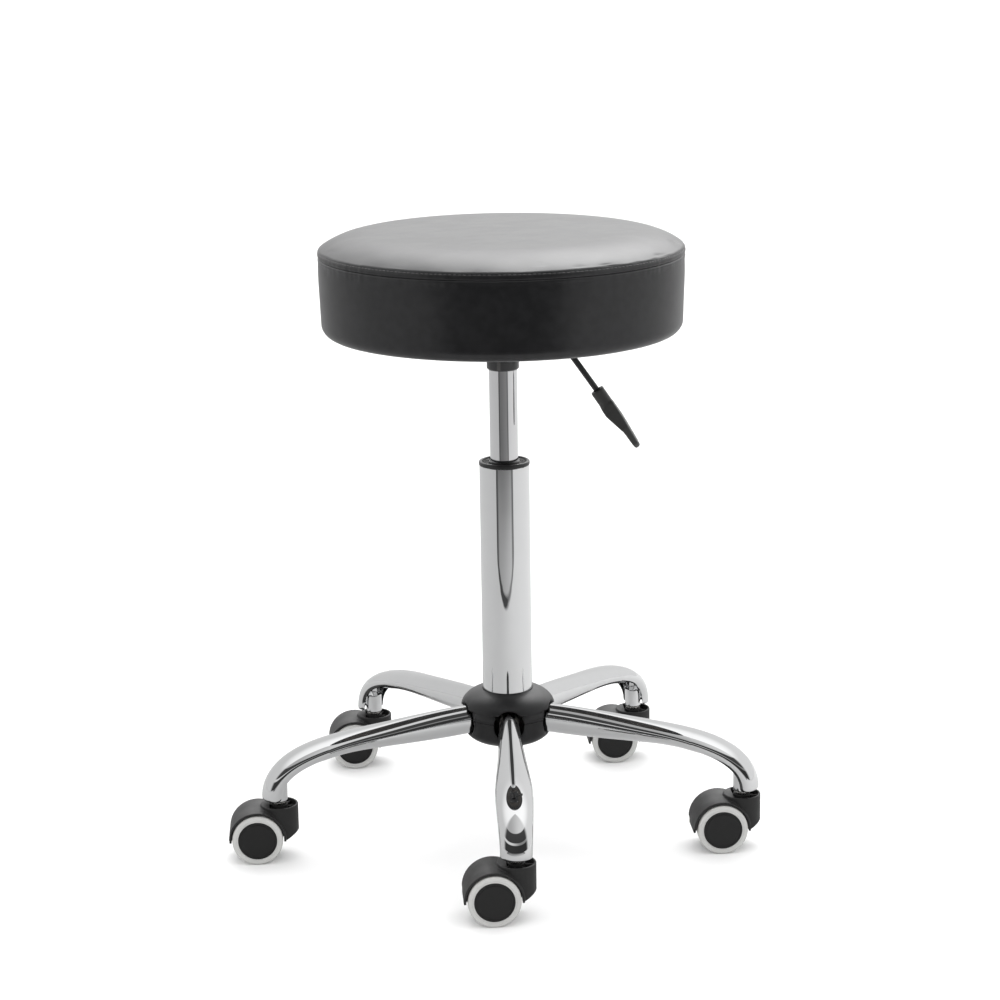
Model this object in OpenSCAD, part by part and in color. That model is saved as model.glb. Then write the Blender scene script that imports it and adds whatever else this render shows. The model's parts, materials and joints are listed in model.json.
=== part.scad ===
// Rolling stool for a hair salon: padded round seat on a gas lift, five-arm chromed base, twin-wheel casters.
// Millimetres. The origin is on the floor, under the axis of the column. +Z is up.

/* [Seat] */
// Diameter of the cushion at its seam
seat_d = 357; // [320:1:400]
// Height of the seat top above the floor, at rest
seat_top = 611; // [605:0.5:620]
// Thickness of the cushion at its middle
seat_h = 97.5; // [90:0.5:105]
// Radius of the upper edge of the cushion
seat_edge = 5; // [4:0.5:10]

/* [Column] */
// Outer diameter of the column tube
tube_d = 50; // [50:0.5:52]
// Height of the top of the column tube above the floor
tube_top = 379; // [370:0.5:390]
// Outer diameter of the gas cylinder
lift_d = 28; // [26:0.5:28]
// Height of the lower rim of the seat socket above the floor
socket_low = 475; // [470:1:477]

/* [Base] */
// Radius of the circle through the caster stems
base_r = 242; // [236:1:250]
// Turn of the base about the column, in degrees
base_turn = 1.26; // [-36:0.01:36]
// Height of the arm's centre line where it leaves the hub sleeve
arm_root_z = 118.7; // [117:0.1:120]
// Wall of the arm tube
arm_wall = 1.5; // [1.2:0.1:2]

/* [Casters] */
// Wheel diameter over the tread
wheel_d = 50; // [48:0.5:51]
// Distance from the stem's axis back to the axle
trail = 22; // [21:0.5:23]
// Swivel of every caster at rest, in degrees
caster_yaw = 3.75; // [-20:0.25:20]
// Outer radius of the hood over the wheels
hood_r = 28.3; // [28:0.1:29]

/* [Lever] */
// Slope of the bent part of the lever below the horizontal, in degrees
lever_slope = 55; // [45:1:60]
// Length of the handle
handle_len = 72; // [60:1:80]

/* [Hidden] */
PLACES = ["front", "right", "back_right", "back_left", "left"];
$fn = 96;

// Clearances
run = 0.05;              // radial gap of a pin or shaft that turns in a bore
slide_gap = 0.06;        // radial gap of the gas cylinder in its bush
lap = 1;                 // how far a cutting shape runs past the face that it cuts

// Column
tube_r = tube_d / 2;
tube_wall = 1.5;
tube_foot = 95;          // bottom of the column tube
taper_top = 148;         // the tube tapers below this height
taper_in = 1;            // how much the tube's radius falls over the taper
plate_t = 3;             // closing plate at the foot of the tube
foot_hole_r = 5.6;       // hole for the end of the piston rod
lift_r = lift_d / 2;
cylinder_low = 226;      // lower end of the gas cylinder at rest
cylinder_top = socket_low + 20;
cylinder_bore = lift_r - 1.3;
rod_r = 5;
rod_end_r = 4;           // the rod is stepped down where it passes the bearing
rod_top = 300;
piston_r = cylinder_bore - 0.15;
piston_h = 12;
race_r = 9.5;
race_t = 1.5;
ball_r = 1.5;
ball_circle = 6.9;
balls = 10;
clip_r = 8;
clip_t = 1.6;
bush_depth = 50;
rim_h = 3.8;             // height of the bush's collar above the tube
rim_r = tube_r + 0.3;
dish_r = 22.4;           // the collar is dished inside this radius
dish_depth = 2.4;
wiper_w = 1.4;           // width of the raised lip that wipes the gas cylinder

// Hub
sleeve_r = 28.5;
sleeve_low = 100;
sleeve_top = 142;
hub_seam = 120;          // height where the two covers meet
hub_wall = 2.6;
hub_flat = 42.5;         // distance from the axis to the flat pad round each arm
pad_low = 97;
pad_top = 130;
opening_w = 30;          // width of the opening for each arm
opening_low = 102;
opening_top = 134.8;
dome_in = 11.5;          // the upper cover's outline is part of an oval round this radius and height
dome_z = 128;
dome_w = 36;
dome_h = 20.5;
bowl_in = 18;            // the same for the lower cover
bowl_z = 106;
bowl_w = 26;
bowl_h = 14.5;

// Arms
arm_start = 28;          // distance from the axis where the arm is welded to the sleeve
arm_bend = 150;          // distance from the axis where the bend starts
arm_fall = 0.055;        // fall of the straight part, per unit of length
arm_tip_z = 61;          // height of the open end of the arm
tip_r = base_r + 6.8;    // distance from the axis to the centre line at the open end
bend_reach = 65;         // how far the straight part's direction is held into the bend
drop_reach = 30;         // how far the vertical direction is held up from the open end
line_steps = 6;
bend_steps = 12;
sides = 20;              // points round the arm's section
cut_side = 3;            // the underside is cut open up to this point on each side
root_w = 10.6;           // half width of the section at the sleeve, at its widest and at the open end
wide_w = 18;
tip_w = 15.1;
root_h = 14.9;           // half height of the section at the sleeve, and beyond the flattening
flat_h = 10;
widest_at = 165;         // length along the arm where it is widest
arm_len = 243;           // length along the arm from the sleeve to the open end

// Caster sockets and stems
stem_bore = 5.5;
socket_r = 8.6;
socket_z = 58.5;
socket_h = 19;
neck_r = 4.5;
neck_top = 90;
stem_r = 5.4;
stem_low_r = 5;
stem_low = 34;
stem_top = 78;
flange_r = 7.6;
grip_z = 66;
grip_h = 5;
grip_depth = 0.9;

// Casters
wheel_r = wheel_d / 2;
web = 7.3;               // half thickness of the hood's middle wall
wheel_in = 8.2;          // inner and outer faces of a wheel, from the caster's middle plane
wheel_out = 23.8;
core_r = 19.2;
hood_w = 22;             // half width of the hood
hood_wall = 2.3;
collar_r = 18.6;
collar_top = 55.5;
recess_r = 16.6;
recess_z = 49.5;
land_x = -9.5;           // the collar's recess ends here, towards the wheels
boss_r = 8.2;
axle_r = 3;
axle_end = 20;
lip_z = 20;              // lowest point of the hood's rear lip
front_z = 22.5;          // lowest point of the hood's front wall
skirt_z = 25;            // lower edge of the hood's sides

// Seat
seat_r = seat_d / 2;
seat_low = seat_top - seat_h;
crown_flat = 110;        // the top is flat inside this radius
crown_fall = 13;         // how far the top falls from there to its rounded edge
crown_power = 3.2;
edge_from = 60;          // where the crown runs into the rounded edge, in degrees round the edge
cover_t = 1.2;
foot_in = 2.5;           // how much the cushion's side pulls in towards its lower edge
low_edge = 11;           // radius of the cushion's lower edge
board_r = seat_r - 13;
board_t = 12;
hem_in = 26;             // how far the cover folds in under the board
plate_side = 160;
plate_clip = 105;        // the plate's corners are cut round at this radius
plate_th = 3;
bolt_step = 130;
bolt_r = 3;
head_r = 5;
head_h = 4;

// Seat mechanism and lever
socket_r_out = 16;
socket_edge = 1.5;
box_x = 40;              // half lengths of the mechanism's box
box_y = 25;
box_wall = 2.5;
box_low = 490;
box_top = seat_low + cover_t - plate_th;
lever_z = 503;
pivot_x = 22;
pivot_r = 2;
lever_r = 3;
elbow_x = 57;
crank_half = 4;          // half height and width of the lever's flat inner end
button_r = 3;
button_low = 470;
touch_gap = 0.15;        // gap between the lever's inner end and the button
grip_in = 8;             // how far the lever rod reaches into the handle
handle_start = 61;       // distance from the elbow to the handle's mouth

function smooth(t) = let (c = min(max(t, 0), 1)) c * c * (3 - 2 * c);
function mix(a, b, t) = a + (b - a) * t;
function bezier(a, b, c, d, t) =
    pow(1 - t, 3) * a + 3 * pow(1 - t, 2) * t * b + 3 * (1 - t) * t * t * c + pow(t, 3) * d;
function oval(cx, cy, rx, ry, from, to, n) =
    [for (i = [0 : n]) let (a = mix(from, to, i / n)) [cx + rx * cos(a), cy + ry * sin(a)]];
function arc(cx, cy, r, from, to, n) = oval(cx, cy, r, r, from, to, n);
function reversed(list) = [for (i = [len(list) - 1 : -1 : 0]) list[i]];

module at_arm(i) rotate([0, 0, -90 + base_turn + 72 * i]) children();

module at_stem(i)
    at_arm(i)
        translate([base_r, 0, 0])
            rotate([0, 0, 90 - base_turn - 72 * i + caster_yaw])
                children();

module ring(outer, inner, low, high)
    difference() {
        translate([0, 0, low]) cylinder(r = outer, h = high - low);
        translate([0, 0, low - lap]) cylinder(r = inner, h = high - low + 2 * lap);
    }

// A shape drawn in the X-Z plane and given a thickness along Y, centred on Y = 0
module side_plate(points, thick)
    rotate([90, 0, 0])
        linear_extrude(height = thick, center = true)
            polygon(points);

// ---- Column ----

module column_tube()
    color("silver")
        rotate_extrude()
            polygon([
                [foot_hole_r, tube_foot],
                [tube_r - taper_in, tube_foot],
                [tube_r, taper_top],
                [tube_r, tube_top],
                [tube_r - tube_wall, tube_top],
                [tube_r - tube_wall, taper_top],
                [tube_r - taper_in - tube_wall, tube_foot + plate_t],
                [foot_hole_r, tube_foot + plate_t]
            ]);

module column_bush()
    color([0.08, 0.08, 0.08])
        rotate_extrude()
            polygon([
                [lift_r + slide_gap, tube_top - bush_depth],
                [tube_r - tube_wall - run, tube_top - bush_depth],
                [tube_r - tube_wall - run, tube_top + run],
                [rim_r, tube_top + run],
                [rim_r, tube_top + rim_h - 1],
                [rim_r - 1, tube_top + rim_h],
                [dish_r, tube_top + rim_h],
                [dish_r, tube_top + rim_h - dish_depth],
                [lift_r + wiper_w, tube_top + rim_h - dish_depth],
                [lift_r + wiper_w, tube_top + rim_h - 1],
                [lift_r + wiper_w - 0.6, tube_top + rim_h],
                [lift_r + slide_gap, tube_top + rim_h]
            ]);

module bush_ring()
    color("silver")
        ring(dish_r - 0.2, lift_r + wiper_w + 0.2, tube_top + rim_h - dish_depth + run, tube_top + rim_h - 1);

module thrust_bearing()
    color("silver") {
        floor_z = tube_foot + plate_t;
        ring(race_r, rod_end_r + 0.6, floor_z, floor_z + race_t);
        for (i = [0 : balls - 1])
            rotate([0, 0, 360 / balls * i])
                translate([ball_circle, 0, floor_z + race_t + ball_r + run])
                    sphere(r = ball_r);
    }

race_z = tube_foot + plate_t + race_t + 2 * ball_r + 2 * run;

module bearing_upper_race()
    color("silver")
        ring(race_r, rod_end_r + run, race_z, race_z + race_t);

module piston_rod()
    color("gainsboro") {
        translate([0, 0, race_z + race_t]) cylinder(r = rod_r, h = rod_top - race_z - race_t);
        translate([0, 0, tube_foot - 5]) cylinder(r = rod_end_r, h = race_z + race_t - tube_foot + 5);
        translate([0, 0, rod_top - piston_h]) cylinder(r = piston_r, h = piston_h);
    }

module retaining_clip()
    color("dimgray")
        ring(clip_r, rod_end_r + run, tube_foot - clip_t - 0.4, tube_foot - 0.4);

module bumper()
    color([0.1, 0.1, 0.1])
        ring(rod_r + 7, rod_r + run, race_z + race_t + 0.2, race_z + race_t + 12);

module gas_cylinder()
    color("silver")
        difference() {
            union() {
                translate([0, 0, cylinder_low]) cylinder(r = lift_r, h = socket_low - cylinder_low);
                translate([0, 0, socket_low])
                    cylinder(r1 = lift_r, r2 = lift_r - 0.4, h = cylinder_top - socket_low);
            }
            translate([0, 0, cylinder_low + 10])
                cylinder(r = cylinder_bore, h = button_low - cylinder_low - 12);
            translate([0, 0, cylinder_low - lap]) cylinder(r = rod_r + run, h = 12);
            translate([0, 0, button_low - 4]) cylinder(r = button_r + run, h = 40);
        }

module release_button()
    color("dimgray")
        translate([0, 0, button_low])
            cylinder(r = button_r, h = lever_z - crank_half - touch_gap - button_low);

// ---- Hub ----

// Outline of both hub covers together, from the tube down to the opening under the column
function hub_outline(inset) = concat(
    oval(dome_in, dome_z, dome_w - inset, dome_h - inset, 90, 5, 10),
    [[bowl_in + bowl_w + 0.8 - inset, 123]],
    oval(bowl_in, bowl_z, bowl_w - inset, bowl_h - inset, 0, -90, 8)
);

module hub_shell(from, to)
    difference() {
        intersection() {
            rotate_extrude()
                polygon(concat([[11, dome_z + dome_h], [11, bowl_z - bowl_h]], reversed(hub_outline(0))));
            translate([0, 0, from]) cylinder(r = 60, h = to - from);
        }
        rotate_extrude()
            polygon(concat(
                [[0, dome_z + dome_h - hub_wall], [0, bowl_z - bowl_h + hub_wall]],
                reversed(hub_outline(hub_wall))
            ));
        translate([0, 0, 60]) cylinder(r = tube_r + 0.1, h = 120);
        for (i = [0 : 4])
            at_arm(i) {
                translate([hub_flat, -25, pad_low]) cube([20, 50, pad_top - pad_low]);
                translate([30, 0, 0]) rotate([90, 0, 90]) linear_extrude(height = 30) polygon(arm_opening());
            }
    }

// Arched opening that one arm passes through: a half round over a straight-sided lower part
function arm_opening() = concat(
    arc(0, opening_top - opening_w / 2, opening_w / 2, 0, 180, 16),
    arc(0, opening_low + opening_w / 2, opening_w / 2, 180, 360, 16)
);

module hub_upper_cover() color([0.12, 0.12, 0.12]) hub_shell(hub_seam + run, 160);

module hub_lower_cover() color([0.12, 0.12, 0.12]) hub_shell(70, hub_seam - run);

// The bore follows the taper of the column tube
module hub_sleeve()
    color("dimgray") {
        slope = taper_in / (taper_top - tube_foot);
        low_r = tube_r - taper_in + slope * (sleeve_low - tube_foot) + run;
        top_r = low_r + slope * (sleeve_top - sleeve_low);
        rotate_extrude()
            polygon([
                [low_r, sleeve_low],
                [sleeve_r, sleeve_low],
                [sleeve_r, sleeve_top],
                [top_r, sleeve_top]
            ]);
    }

// ---- Arms ----

bend_z = arm_root_z - arm_fall * (arm_bend - arm_start);
function on_line(t) = [mix(arm_start, arm_bend, t), 0, mix(arm_root_z, bend_z, t)];
function on_bend(t) = bezier(
    [arm_bend, 0, bend_z],
    [arm_bend + bend_reach, 0, bend_z - arm_fall * bend_reach],
    [tip_r, 0, arm_tip_z + drop_reach],
    [tip_r, 0, arm_tip_z],
    t
);
centres = concat(
    [for (i = [0 : line_steps - 1]) on_line(i / line_steps)],
    [for (i = [0 : bend_steps]) on_bend(i / bend_steps)]
);
last = len(centres) - 1;
first_open = line_steps + 4; // first station of the open channel
function length_to(i) = i == 0 ? 0 : length_to(i - 1) + norm(centres[i] - centres[i - 1]);
function direction(i) =
    let (d = centres[min(i + 1, last)] - centres[max(i - 1, 0)])
    i == last ? [0, 0, -1] : d / norm(d);
function half_width(s) = s < widest_at
    ? mix(root_w, wide_w, pow(s / widest_at, 1.6))
    : mix(wide_w, tip_w, smooth((s - widest_at - 15) / (arm_len - widest_at - 15)));
function half_height(s) = mix(root_h, flat_h, smooth((s - 30) / 135));

// Point j of the section at station i. The first point is the lowest, and inset is the depth below the skin.
function section(i, j, inset) =
    let (
        along = direction(i),
        up = [-along[2], 0, along[0]],
        s = length_to(i),
        a = 360 / sides * j - 180
    )
    centres[i]
    + [0, 1, 0] * (half_width(s) - inset) * sin(a)
    + up * (half_height(s) - inset) * cos(a);

// Two triangles over the corners p, q, r, s
function quad(p, q, r, s) = [[p, q, r], [p, r, s]];

function is_open(j) = j < cut_side || j >= sides - cut_side;

module arm() {
    count = len(centres) * sides;
    right_edge = cut_side;
    left_edge = sides - cut_side;
    function o(i, j) = i * sides + j % sides;
    function n(i, j) = count + o(i, j);
    color("silver")
        polyhedron(
            points = [
                for (inset = [0, arm_wall], i = [0 : last], j = [0 : sides - 1])
                    section(i, j, inset)
            ],
            faces = [
                for (i = [0 : last - 1], j = [0 : sides - 1])
                    if (i < first_open || !is_open(j))
                        each concat(
                            quad(o(i, j), o(i, j + 1), o(i + 1, j + 1), o(i + 1, j)),
                            quad(n(i, j), n(i + 1, j), n(i + 1, j + 1), n(i, j + 1))
                        ),
                for (j = [0 : sides - 1])
                    each quad(o(0, j), n(0, j), n(0, j + 1), o(0, j + 1)),
                for (j = [0 : sides - 1])
                    let (i = is_open(j) ? first_open : last)
                    each quad(o(i, j), o(i, j + 1), n(i, j + 1), n(i, j)),
                for (i = [first_open : last - 1])
                    each concat(
                        quad(o(i, right_edge), o(i + 1, right_edge), n(i + 1, right_edge), n(i, right_edge)),
                        quad(o(i, left_edge), n(i, left_edge), n(i + 1, left_edge), o(i + 1, left_edge))
                    )
            ]
        );
}

module caster_sockets()
    color("silver")
        for (i = [0 : 4])
            at_stem(i)
                rotate_extrude()
                    polygon([
                        [stem_bore, socket_z],
                        [socket_r, socket_z],
                        [socket_r, socket_z + socket_h],
                        [neck_r, socket_z + socket_h + 4],
                        [neck_r, neck_top],
                        [0, neck_top],
                        [0, socket_z + socket_h + 1],
                        [stem_bore, socket_z + socket_h + 1]
                    ]);

module caster_stems()
    color("gainsboro")
        for (i = [0 : 4])
            at_stem(i)
                rotate_extrude()
                    polygon([
                        [0, stem_low],
                        [stem_low_r, stem_low],
                        [stem_low_r, collar_top + 0.2],
                        [flange_r, collar_top + 0.2],
                        [flange_r, socket_z - 0.1],
                        [stem_r - run, socket_z - 0.1],
                        [stem_r - run, grip_z],
                        [stem_r - grip_depth, grip_z],
                        [stem_r - grip_depth, grip_z + grip_h],
                        [stem_r - run, grip_z + grip_h],
                        [stem_r - run, stem_top - 1],
                        [stem_r - 1, stem_top],
                        [0, stem_top]
                    ]);

module stem_grip_rings()
    color("dimgray")
        for (i = [0 : 4])
            at_stem(i)
                ring(stem_r, stem_r - grip_depth + run, grip_z + run, grip_z + grip_h - run);

// ---- Casters: the stem is at the origin of at_stem, and the wheels trail towards -X ----

// Side outline of the hood below the collar: the rear lip, the arch and the front skirt
hood_side = [
    [-trail - hood_r - lap, lip_z],
    [-trail - hood_r - lap, 70],
    [30, 70],
    [30, 34],
    [collar_r, 28.5],
    [7, front_z],
    [-trail + 9, front_z],
    [-trail + 9, 16],
    [-trail - 9, 16],
    [-trail - 9, lip_z]
];

module hood(i)
    color([0.14, 0.14, 0.14])
        at_stem(i)
            difference() {
                intersection() {
                    union() {
                        translate([-trail, 0, wheel_r]) rotate([90, 0, 0])
                            cylinder(r = hood_r, h = 2 * hood_w, center = true);
                        translate([-trail - hood_r, -hood_w, lip_z])
                            cube([hood_r, 2 * hood_w, wheel_r - lip_z]);
                        translate([0, 0, 10]) cylinder(r = collar_r, h = collar_top - 10);
                    }
                    side_plate(hood_side, 4 * hood_w);
                }
                for (side = [-1, 1])
                    translate([-trail, side * (web + 20), wheel_r]) rotate([90, 0, 0])
                        cylinder(r = hood_r - hood_wall, h = 40, center = true);
                for (side = [-1, 1])
                    translate([-trail - hood_r + hood_wall, side * (web + 20) - 20, 0])
                        cube([hood_r - hood_wall, 40, wheel_r]);
                for (side = [-1, 1])
                    translate([-60, side * (hood_w - 2) - 5, 0])
                        cube([60 - trail, 10, skirt_z]);
                difference() {
                    translate([0, 0, recess_z]) cylinder(r = recess_r, h = 20);
                    translate([0, 0, recess_z - lap]) cylinder(r = boss_r, h = 30);
                    translate([land_x - 40, -30, recess_z - lap]) cube([40, 60, 30]);
                }
                translate([0, 0, stem_low - lap]) cylinder(r = stem_low_r + run, h = 40);
                translate([-trail, 0, wheel_r]) rotate([90, 0, 0])
                    cylinder(r = axle_r + 0.01, h = 4 * web, center = true);
            }

module axle(i)
    color("gainsboro")
        at_stem(i)
            translate([-trail, 0, wheel_r]) rotate([90, 0, 0])
                cylinder(r = axle_r, h = 2 * axle_end, center = true);

// Wheels are drawn round Z, with the caster's middle plane at z = 0, and then turned onto the axle
module on_axle(i, side)
    at_stem(i)
        translate([-trail, 0, wheel_r])
            rotate([90 * side, 0, 0])
                children();

module wheel(i, side)
    color([0.1, 0.1, 0.1])
        on_axle(i, side)
            rotate_extrude()
                polygon([
                    [axle_r + run, wheel_in - 0.6],
                    [axle_r + 2.5, wheel_in - 0.6],
                    [axle_r + 2.5, wheel_out - 2.4],
                    [core_r - 2.4, wheel_out - 2.4],
                    [core_r - 2.4, wheel_in + 1],
                    [core_r, wheel_in + 1],
                    [core_r, wheel_out - 0.6],
                    [core_r - 0.6, wheel_out],
                    [0, wheel_out],
                    [0, axle_end + 0.2],
                    [axle_r + run, axle_end + 0.2]
                ]);

module tyre(i, side)
    color([0.72, 0.72, 0.72])
        on_axle(i, side) {
            edge = 2;
            rotate_extrude()
                polygon(concat(
                    [[core_r + 0.02, wheel_out - 0.2], [core_r + 0.02, wheel_in]],
                    arc(wheel_r - edge, wheel_in + edge, edge, -90, 0, 6),
                    arc(wheel_r - edge, wheel_out - edge - 0.2, edge, 0, 90, 6)
                ));
        }

// ---- Seat ----

// Outline of the cushion from its flat top out to the side, at the depth inset below the surface
function seat_upper(inset) =
    let (
        edge_z = seat_top - crown_fall - seat_edge * sin(edge_from),
        edge = arc(seat_r - seat_edge, edge_z, seat_edge - inset, edge_from, 0, 5)
    )
    concat(
        [
            for (t = [0 : 0.125 : 0.875])
                [mix(crown_flat, edge[0][0], t), mix(seat_top - inset, edge[0][1], pow(t, crown_power))]
        ],
        edge
    );

// Outline from the side in under the cushion
function seat_lower(inset) =
    arc(seat_r - foot_in - low_edge, seat_low + low_edge, low_edge - inset, 0, -90, 8);

module seat_cover()
    color([0.1, 0.1, 0.11])
        rotate_extrude()
            polygon(concat(
                [[0, seat_top - cover_t], [0, seat_top]],
                seat_upper(0),
                seat_lower(0),
                [[board_r - hem_in, seat_low], [board_r - hem_in, seat_low + cover_t]],
                reversed(seat_lower(cover_t)),
                reversed(seat_upper(cover_t))
            ));

module seat_board()
    color("burlywood")
        difference() {
            translate([0, 0, seat_low + cover_t + run]) cylinder(r = board_r, h = board_t);
            at_bolts() translate([0, 0, seat_low - lap]) cylinder(r = bolt_r + 0.2, h = 30);
        }

module seat_foam()
    color("khaki")
        rotate_extrude()
            polygon(concat(
                [[0, seat_low + cover_t + board_t + 0.1], [0, seat_top - cover_t - 0.1]],
                seat_upper(cover_t + 0.1),
                [[seat_r - foot_in - cover_t - 0.1, seat_low + cover_t + board_t + 0.1]]
            ));

module at_bolts()
    for (x = [-1, 1], y = [-1, 1])
        translate([x * bolt_step / 2, y * bolt_step / 2, 0])
            children();

module seat_plate()
    color([0.13, 0.13, 0.13])
        difference() {
            translate([0, 0, box_top]) intersection() {
                translate([-plate_side / 2, -plate_side / 2, 0]) cube([plate_side, plate_side, plate_th]);
                translate([0, 0, -lap]) cylinder(r = plate_clip, h = plate_th + 2 * lap);
            }
            at_bolts() translate([0, 0, box_top - lap]) cylinder(r = bolt_r + 0.3, h = plate_th + 2 * lap);
        }

module plate_bolts()
    color("silver")
        at_bolts() {
            translate([0, 0, box_top - head_h]) cylinder(r = head_r, h = head_h);
            translate([0, 0, box_top - lap]) cylinder(r = bolt_r, h = plate_th + board_t);
        }

// Welded box that carries the lever, with a tapered socket below it for the gas cylinder
module seat_socket()
    color([0.09, 0.09, 0.09])
        difference() {
            union() {
                translate([-box_x, -box_y, box_low]) cube([2 * box_x, 2 * box_y, box_top - box_low]);
                translate([0, 0, socket_low])
                    cylinder(r1 = socket_r_out - socket_edge, r2 = socket_r_out, h = socket_edge);
                translate([0, 0, socket_low + socket_edge])
                    cylinder(r = socket_r_out, h = box_top - socket_low - 10);
            }
            translate([0, 0, socket_low])
                cylinder(r1 = lift_r + run, r2 = lift_r - 0.4 + run, h = cylinder_top - socket_low);
            translate([0, 0, socket_low - lap]) cylinder(r = lift_r + run, h = lap + 0.5);
            translate([-box_x + box_wall, -box_y + box_wall, cylinder_top])
                cube([2 * (box_x - box_wall), 2 * (box_y - box_wall), 60]);
            translate([box_x - 2 * box_wall, -6, lever_z - 6]) cube([20, 12, 40]);
            translate([pivot_x, 0, lever_z]) rotate([90, 0, 0]) cylinder(r = pivot_r + 0.02, h = 80, center = true);
        }

module lever_pivot_pin()
    color("silver")
        translate([pivot_x, 0, lever_z]) rotate([90, 0, 0])
            cylinder(r = pivot_r, h = 2 * box_y + 3, center = true);

// ---- Lever ----

module at_elbow()
    translate([elbow_x, 0, lever_z])
        rotate([0, 90 + lever_slope, 0])
            children();

module lever_rod()
    color([0.1, 0.1, 0.1])
        difference() {
            union() {
                translate([0, -crank_half, lever_z - crank_half]) cube([30, 2 * crank_half, 2 * crank_half]);
                translate([0, 0, lever_z]) rotate([90, 0, 0])
                    cylinder(r = crank_half, h = 2 * crank_half, center = true);
                translate([pivot_x, 0, lever_z]) rotate([0, 90, 0]) cylinder(r = lever_r, h = elbow_x - pivot_x);
                translate([elbow_x, 0, lever_z]) sphere(r = lever_r);
                at_elbow() cylinder(r = lever_r, h = handle_start + grip_in);
            }
            translate([pivot_x, 0, lever_z]) rotate([90, 0, 0])
                cylinder(r = pivot_r + run, h = 40, center = true);
        }

// Side view of the handle: length along X, thickness along Y. The socket end is thick, the blade is thin.
handle_side = concat(
    [[0, -7], [27, -7.8], [49, -2.6]],
    arc(handle_len - 3, 0.2, 3, -70, 70, 4),
    [[36, 6], [0, 7]]
);
// Plan view of the handle: length along X, width along Y
handle_plan = concat(
    [[0, -7], [24, -8.5], [46, -13]],
    arc(handle_len - 13, 0, 13, -60, 60, 8),
    [[46, 13], [24, 8.5], [0, 7]]
);

module lever_handle()
    color([0.07, 0.07, 0.07])
        at_elbow()
            difference() {
                translate([0, 0, handle_start])
                    rotate([0, -90, 0]) intersection() {
                        linear_extrude(height = 40, center = true) polygon(handle_plan);
                        rotate([90, 0, 0]) linear_extrude(height = 40, center = true) polygon(handle_side);
                    }
                cylinder(r = lever_r + 0.02, h = handle_start + grip_in + 0.1);
            }

hub_upper_cover();
hub_lower_cover();
hub_sleeve();
caster_sockets();
caster_stems();
stem_grip_rings();
column_tube();
column_bush();
bush_ring();
thrust_bearing();
piston_rod();
bearing_upper_race();
retaining_clip();
bumper();
gas_cylinder();
seat_socket();
seat_plate();
plate_bolts();
lever_pivot_pin();
seat_board();
seat_foam();
seat_cover();
lever_rod();
lever_handle();
release_button();
for (i = [0 : len(PLACES) - 1]) {
    at_arm(i) arm();
    hood(i);
    axle(i);
    wheel(i, 1);
    tyre(i, 1);
    wheel(i, -1);
    tyre(i, -1);
}
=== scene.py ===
"""Looks of the rolling salon stool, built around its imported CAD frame.

Shapes are worked out in millimetres and become metres when a mesh is made.
"""

import json
import math

import bmesh
import bpy
import numpy as np
from mathutils import Matrix, Vector
from mathutils.kdtree import KDTree


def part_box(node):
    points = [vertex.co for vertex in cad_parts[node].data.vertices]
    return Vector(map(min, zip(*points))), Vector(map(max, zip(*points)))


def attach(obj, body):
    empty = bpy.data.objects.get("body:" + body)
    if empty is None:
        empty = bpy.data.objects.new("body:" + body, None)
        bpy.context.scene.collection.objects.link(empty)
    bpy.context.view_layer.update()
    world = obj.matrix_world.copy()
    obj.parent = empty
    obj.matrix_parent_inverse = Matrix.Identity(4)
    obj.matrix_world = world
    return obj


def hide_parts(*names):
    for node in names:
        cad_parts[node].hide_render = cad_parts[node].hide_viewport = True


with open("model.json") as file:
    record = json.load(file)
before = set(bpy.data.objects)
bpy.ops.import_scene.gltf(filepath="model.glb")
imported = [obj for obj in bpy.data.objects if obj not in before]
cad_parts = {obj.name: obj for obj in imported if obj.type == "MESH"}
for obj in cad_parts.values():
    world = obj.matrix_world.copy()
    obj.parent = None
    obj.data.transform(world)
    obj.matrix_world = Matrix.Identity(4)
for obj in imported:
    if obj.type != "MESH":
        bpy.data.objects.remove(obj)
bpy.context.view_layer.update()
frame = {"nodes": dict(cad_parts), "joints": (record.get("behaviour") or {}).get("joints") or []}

MM = 0.001
TURN = 2 * math.pi
scene = bpy.context.scene
JOINTS = {joint["name"]: joint for joint in frame["joints"]}
PLACES = [name[len("swivel_"):] for name in JOINTS if name.startswith("swivel_")]


def span(node):
    """Lowest and highest corner of a CAD node, in millimetres."""
    low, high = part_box(node)
    return np.array(low) / MM, np.array(high) / MM


def joint_at(name):
    """Where a joint is, in millimetres."""
    return np.array(JOINTS[name]["pos_m"]) / MM


# ---- Sizes that the frame gives ----

(_, _, TUBE_LOW), (TUBE_R, _, TUBE_TOP) = span("column_tube")
(_, _, RIM_LOW), (RIM_R, _, RIM_TOP) = span("column_bush")
(_, _, LIFT_LOW), (LIFT_R, _, LIFT_TOP) = span("gas_cylinder")
(_, _, SEAT_LOW), (SEAT_R, _, SEAT_TOP) = span("seat_cover")
(_, _, HUB_LOW), (HUB_R, _, HUB_TOP) = span("hub_upper_cover")
(_, _, HUB_FOOT), _ = span("hub_lower_cover")
(_, _, SOCKET_LOW), _ = span("seat_socket")
(_, _, BOLT_LOW), (BOLT_OUT, _, BOLT_TOP) = span("plate_bolts")
(_, _, WHEEL_LOW), (_, _, WHEEL_TOP) = span("tyre_a_front")
(_, _, ARM_TIP), _ = span("arm_front")
(_, _, HOOD_LOW), (_, _, COLLAR_TOP) = span("hood_front")
WHEEL_R = (WHEEL_TOP - WHEEL_LOW) / 2
BASE_R = np.hypot(*joint_at("swivel_front")[:2])
TRAIL = np.hypot(*(joint_at("swivel_front") - joint_at("roll_a_front"))[:2])

# ---- Sizes inside the boxes ----

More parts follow.
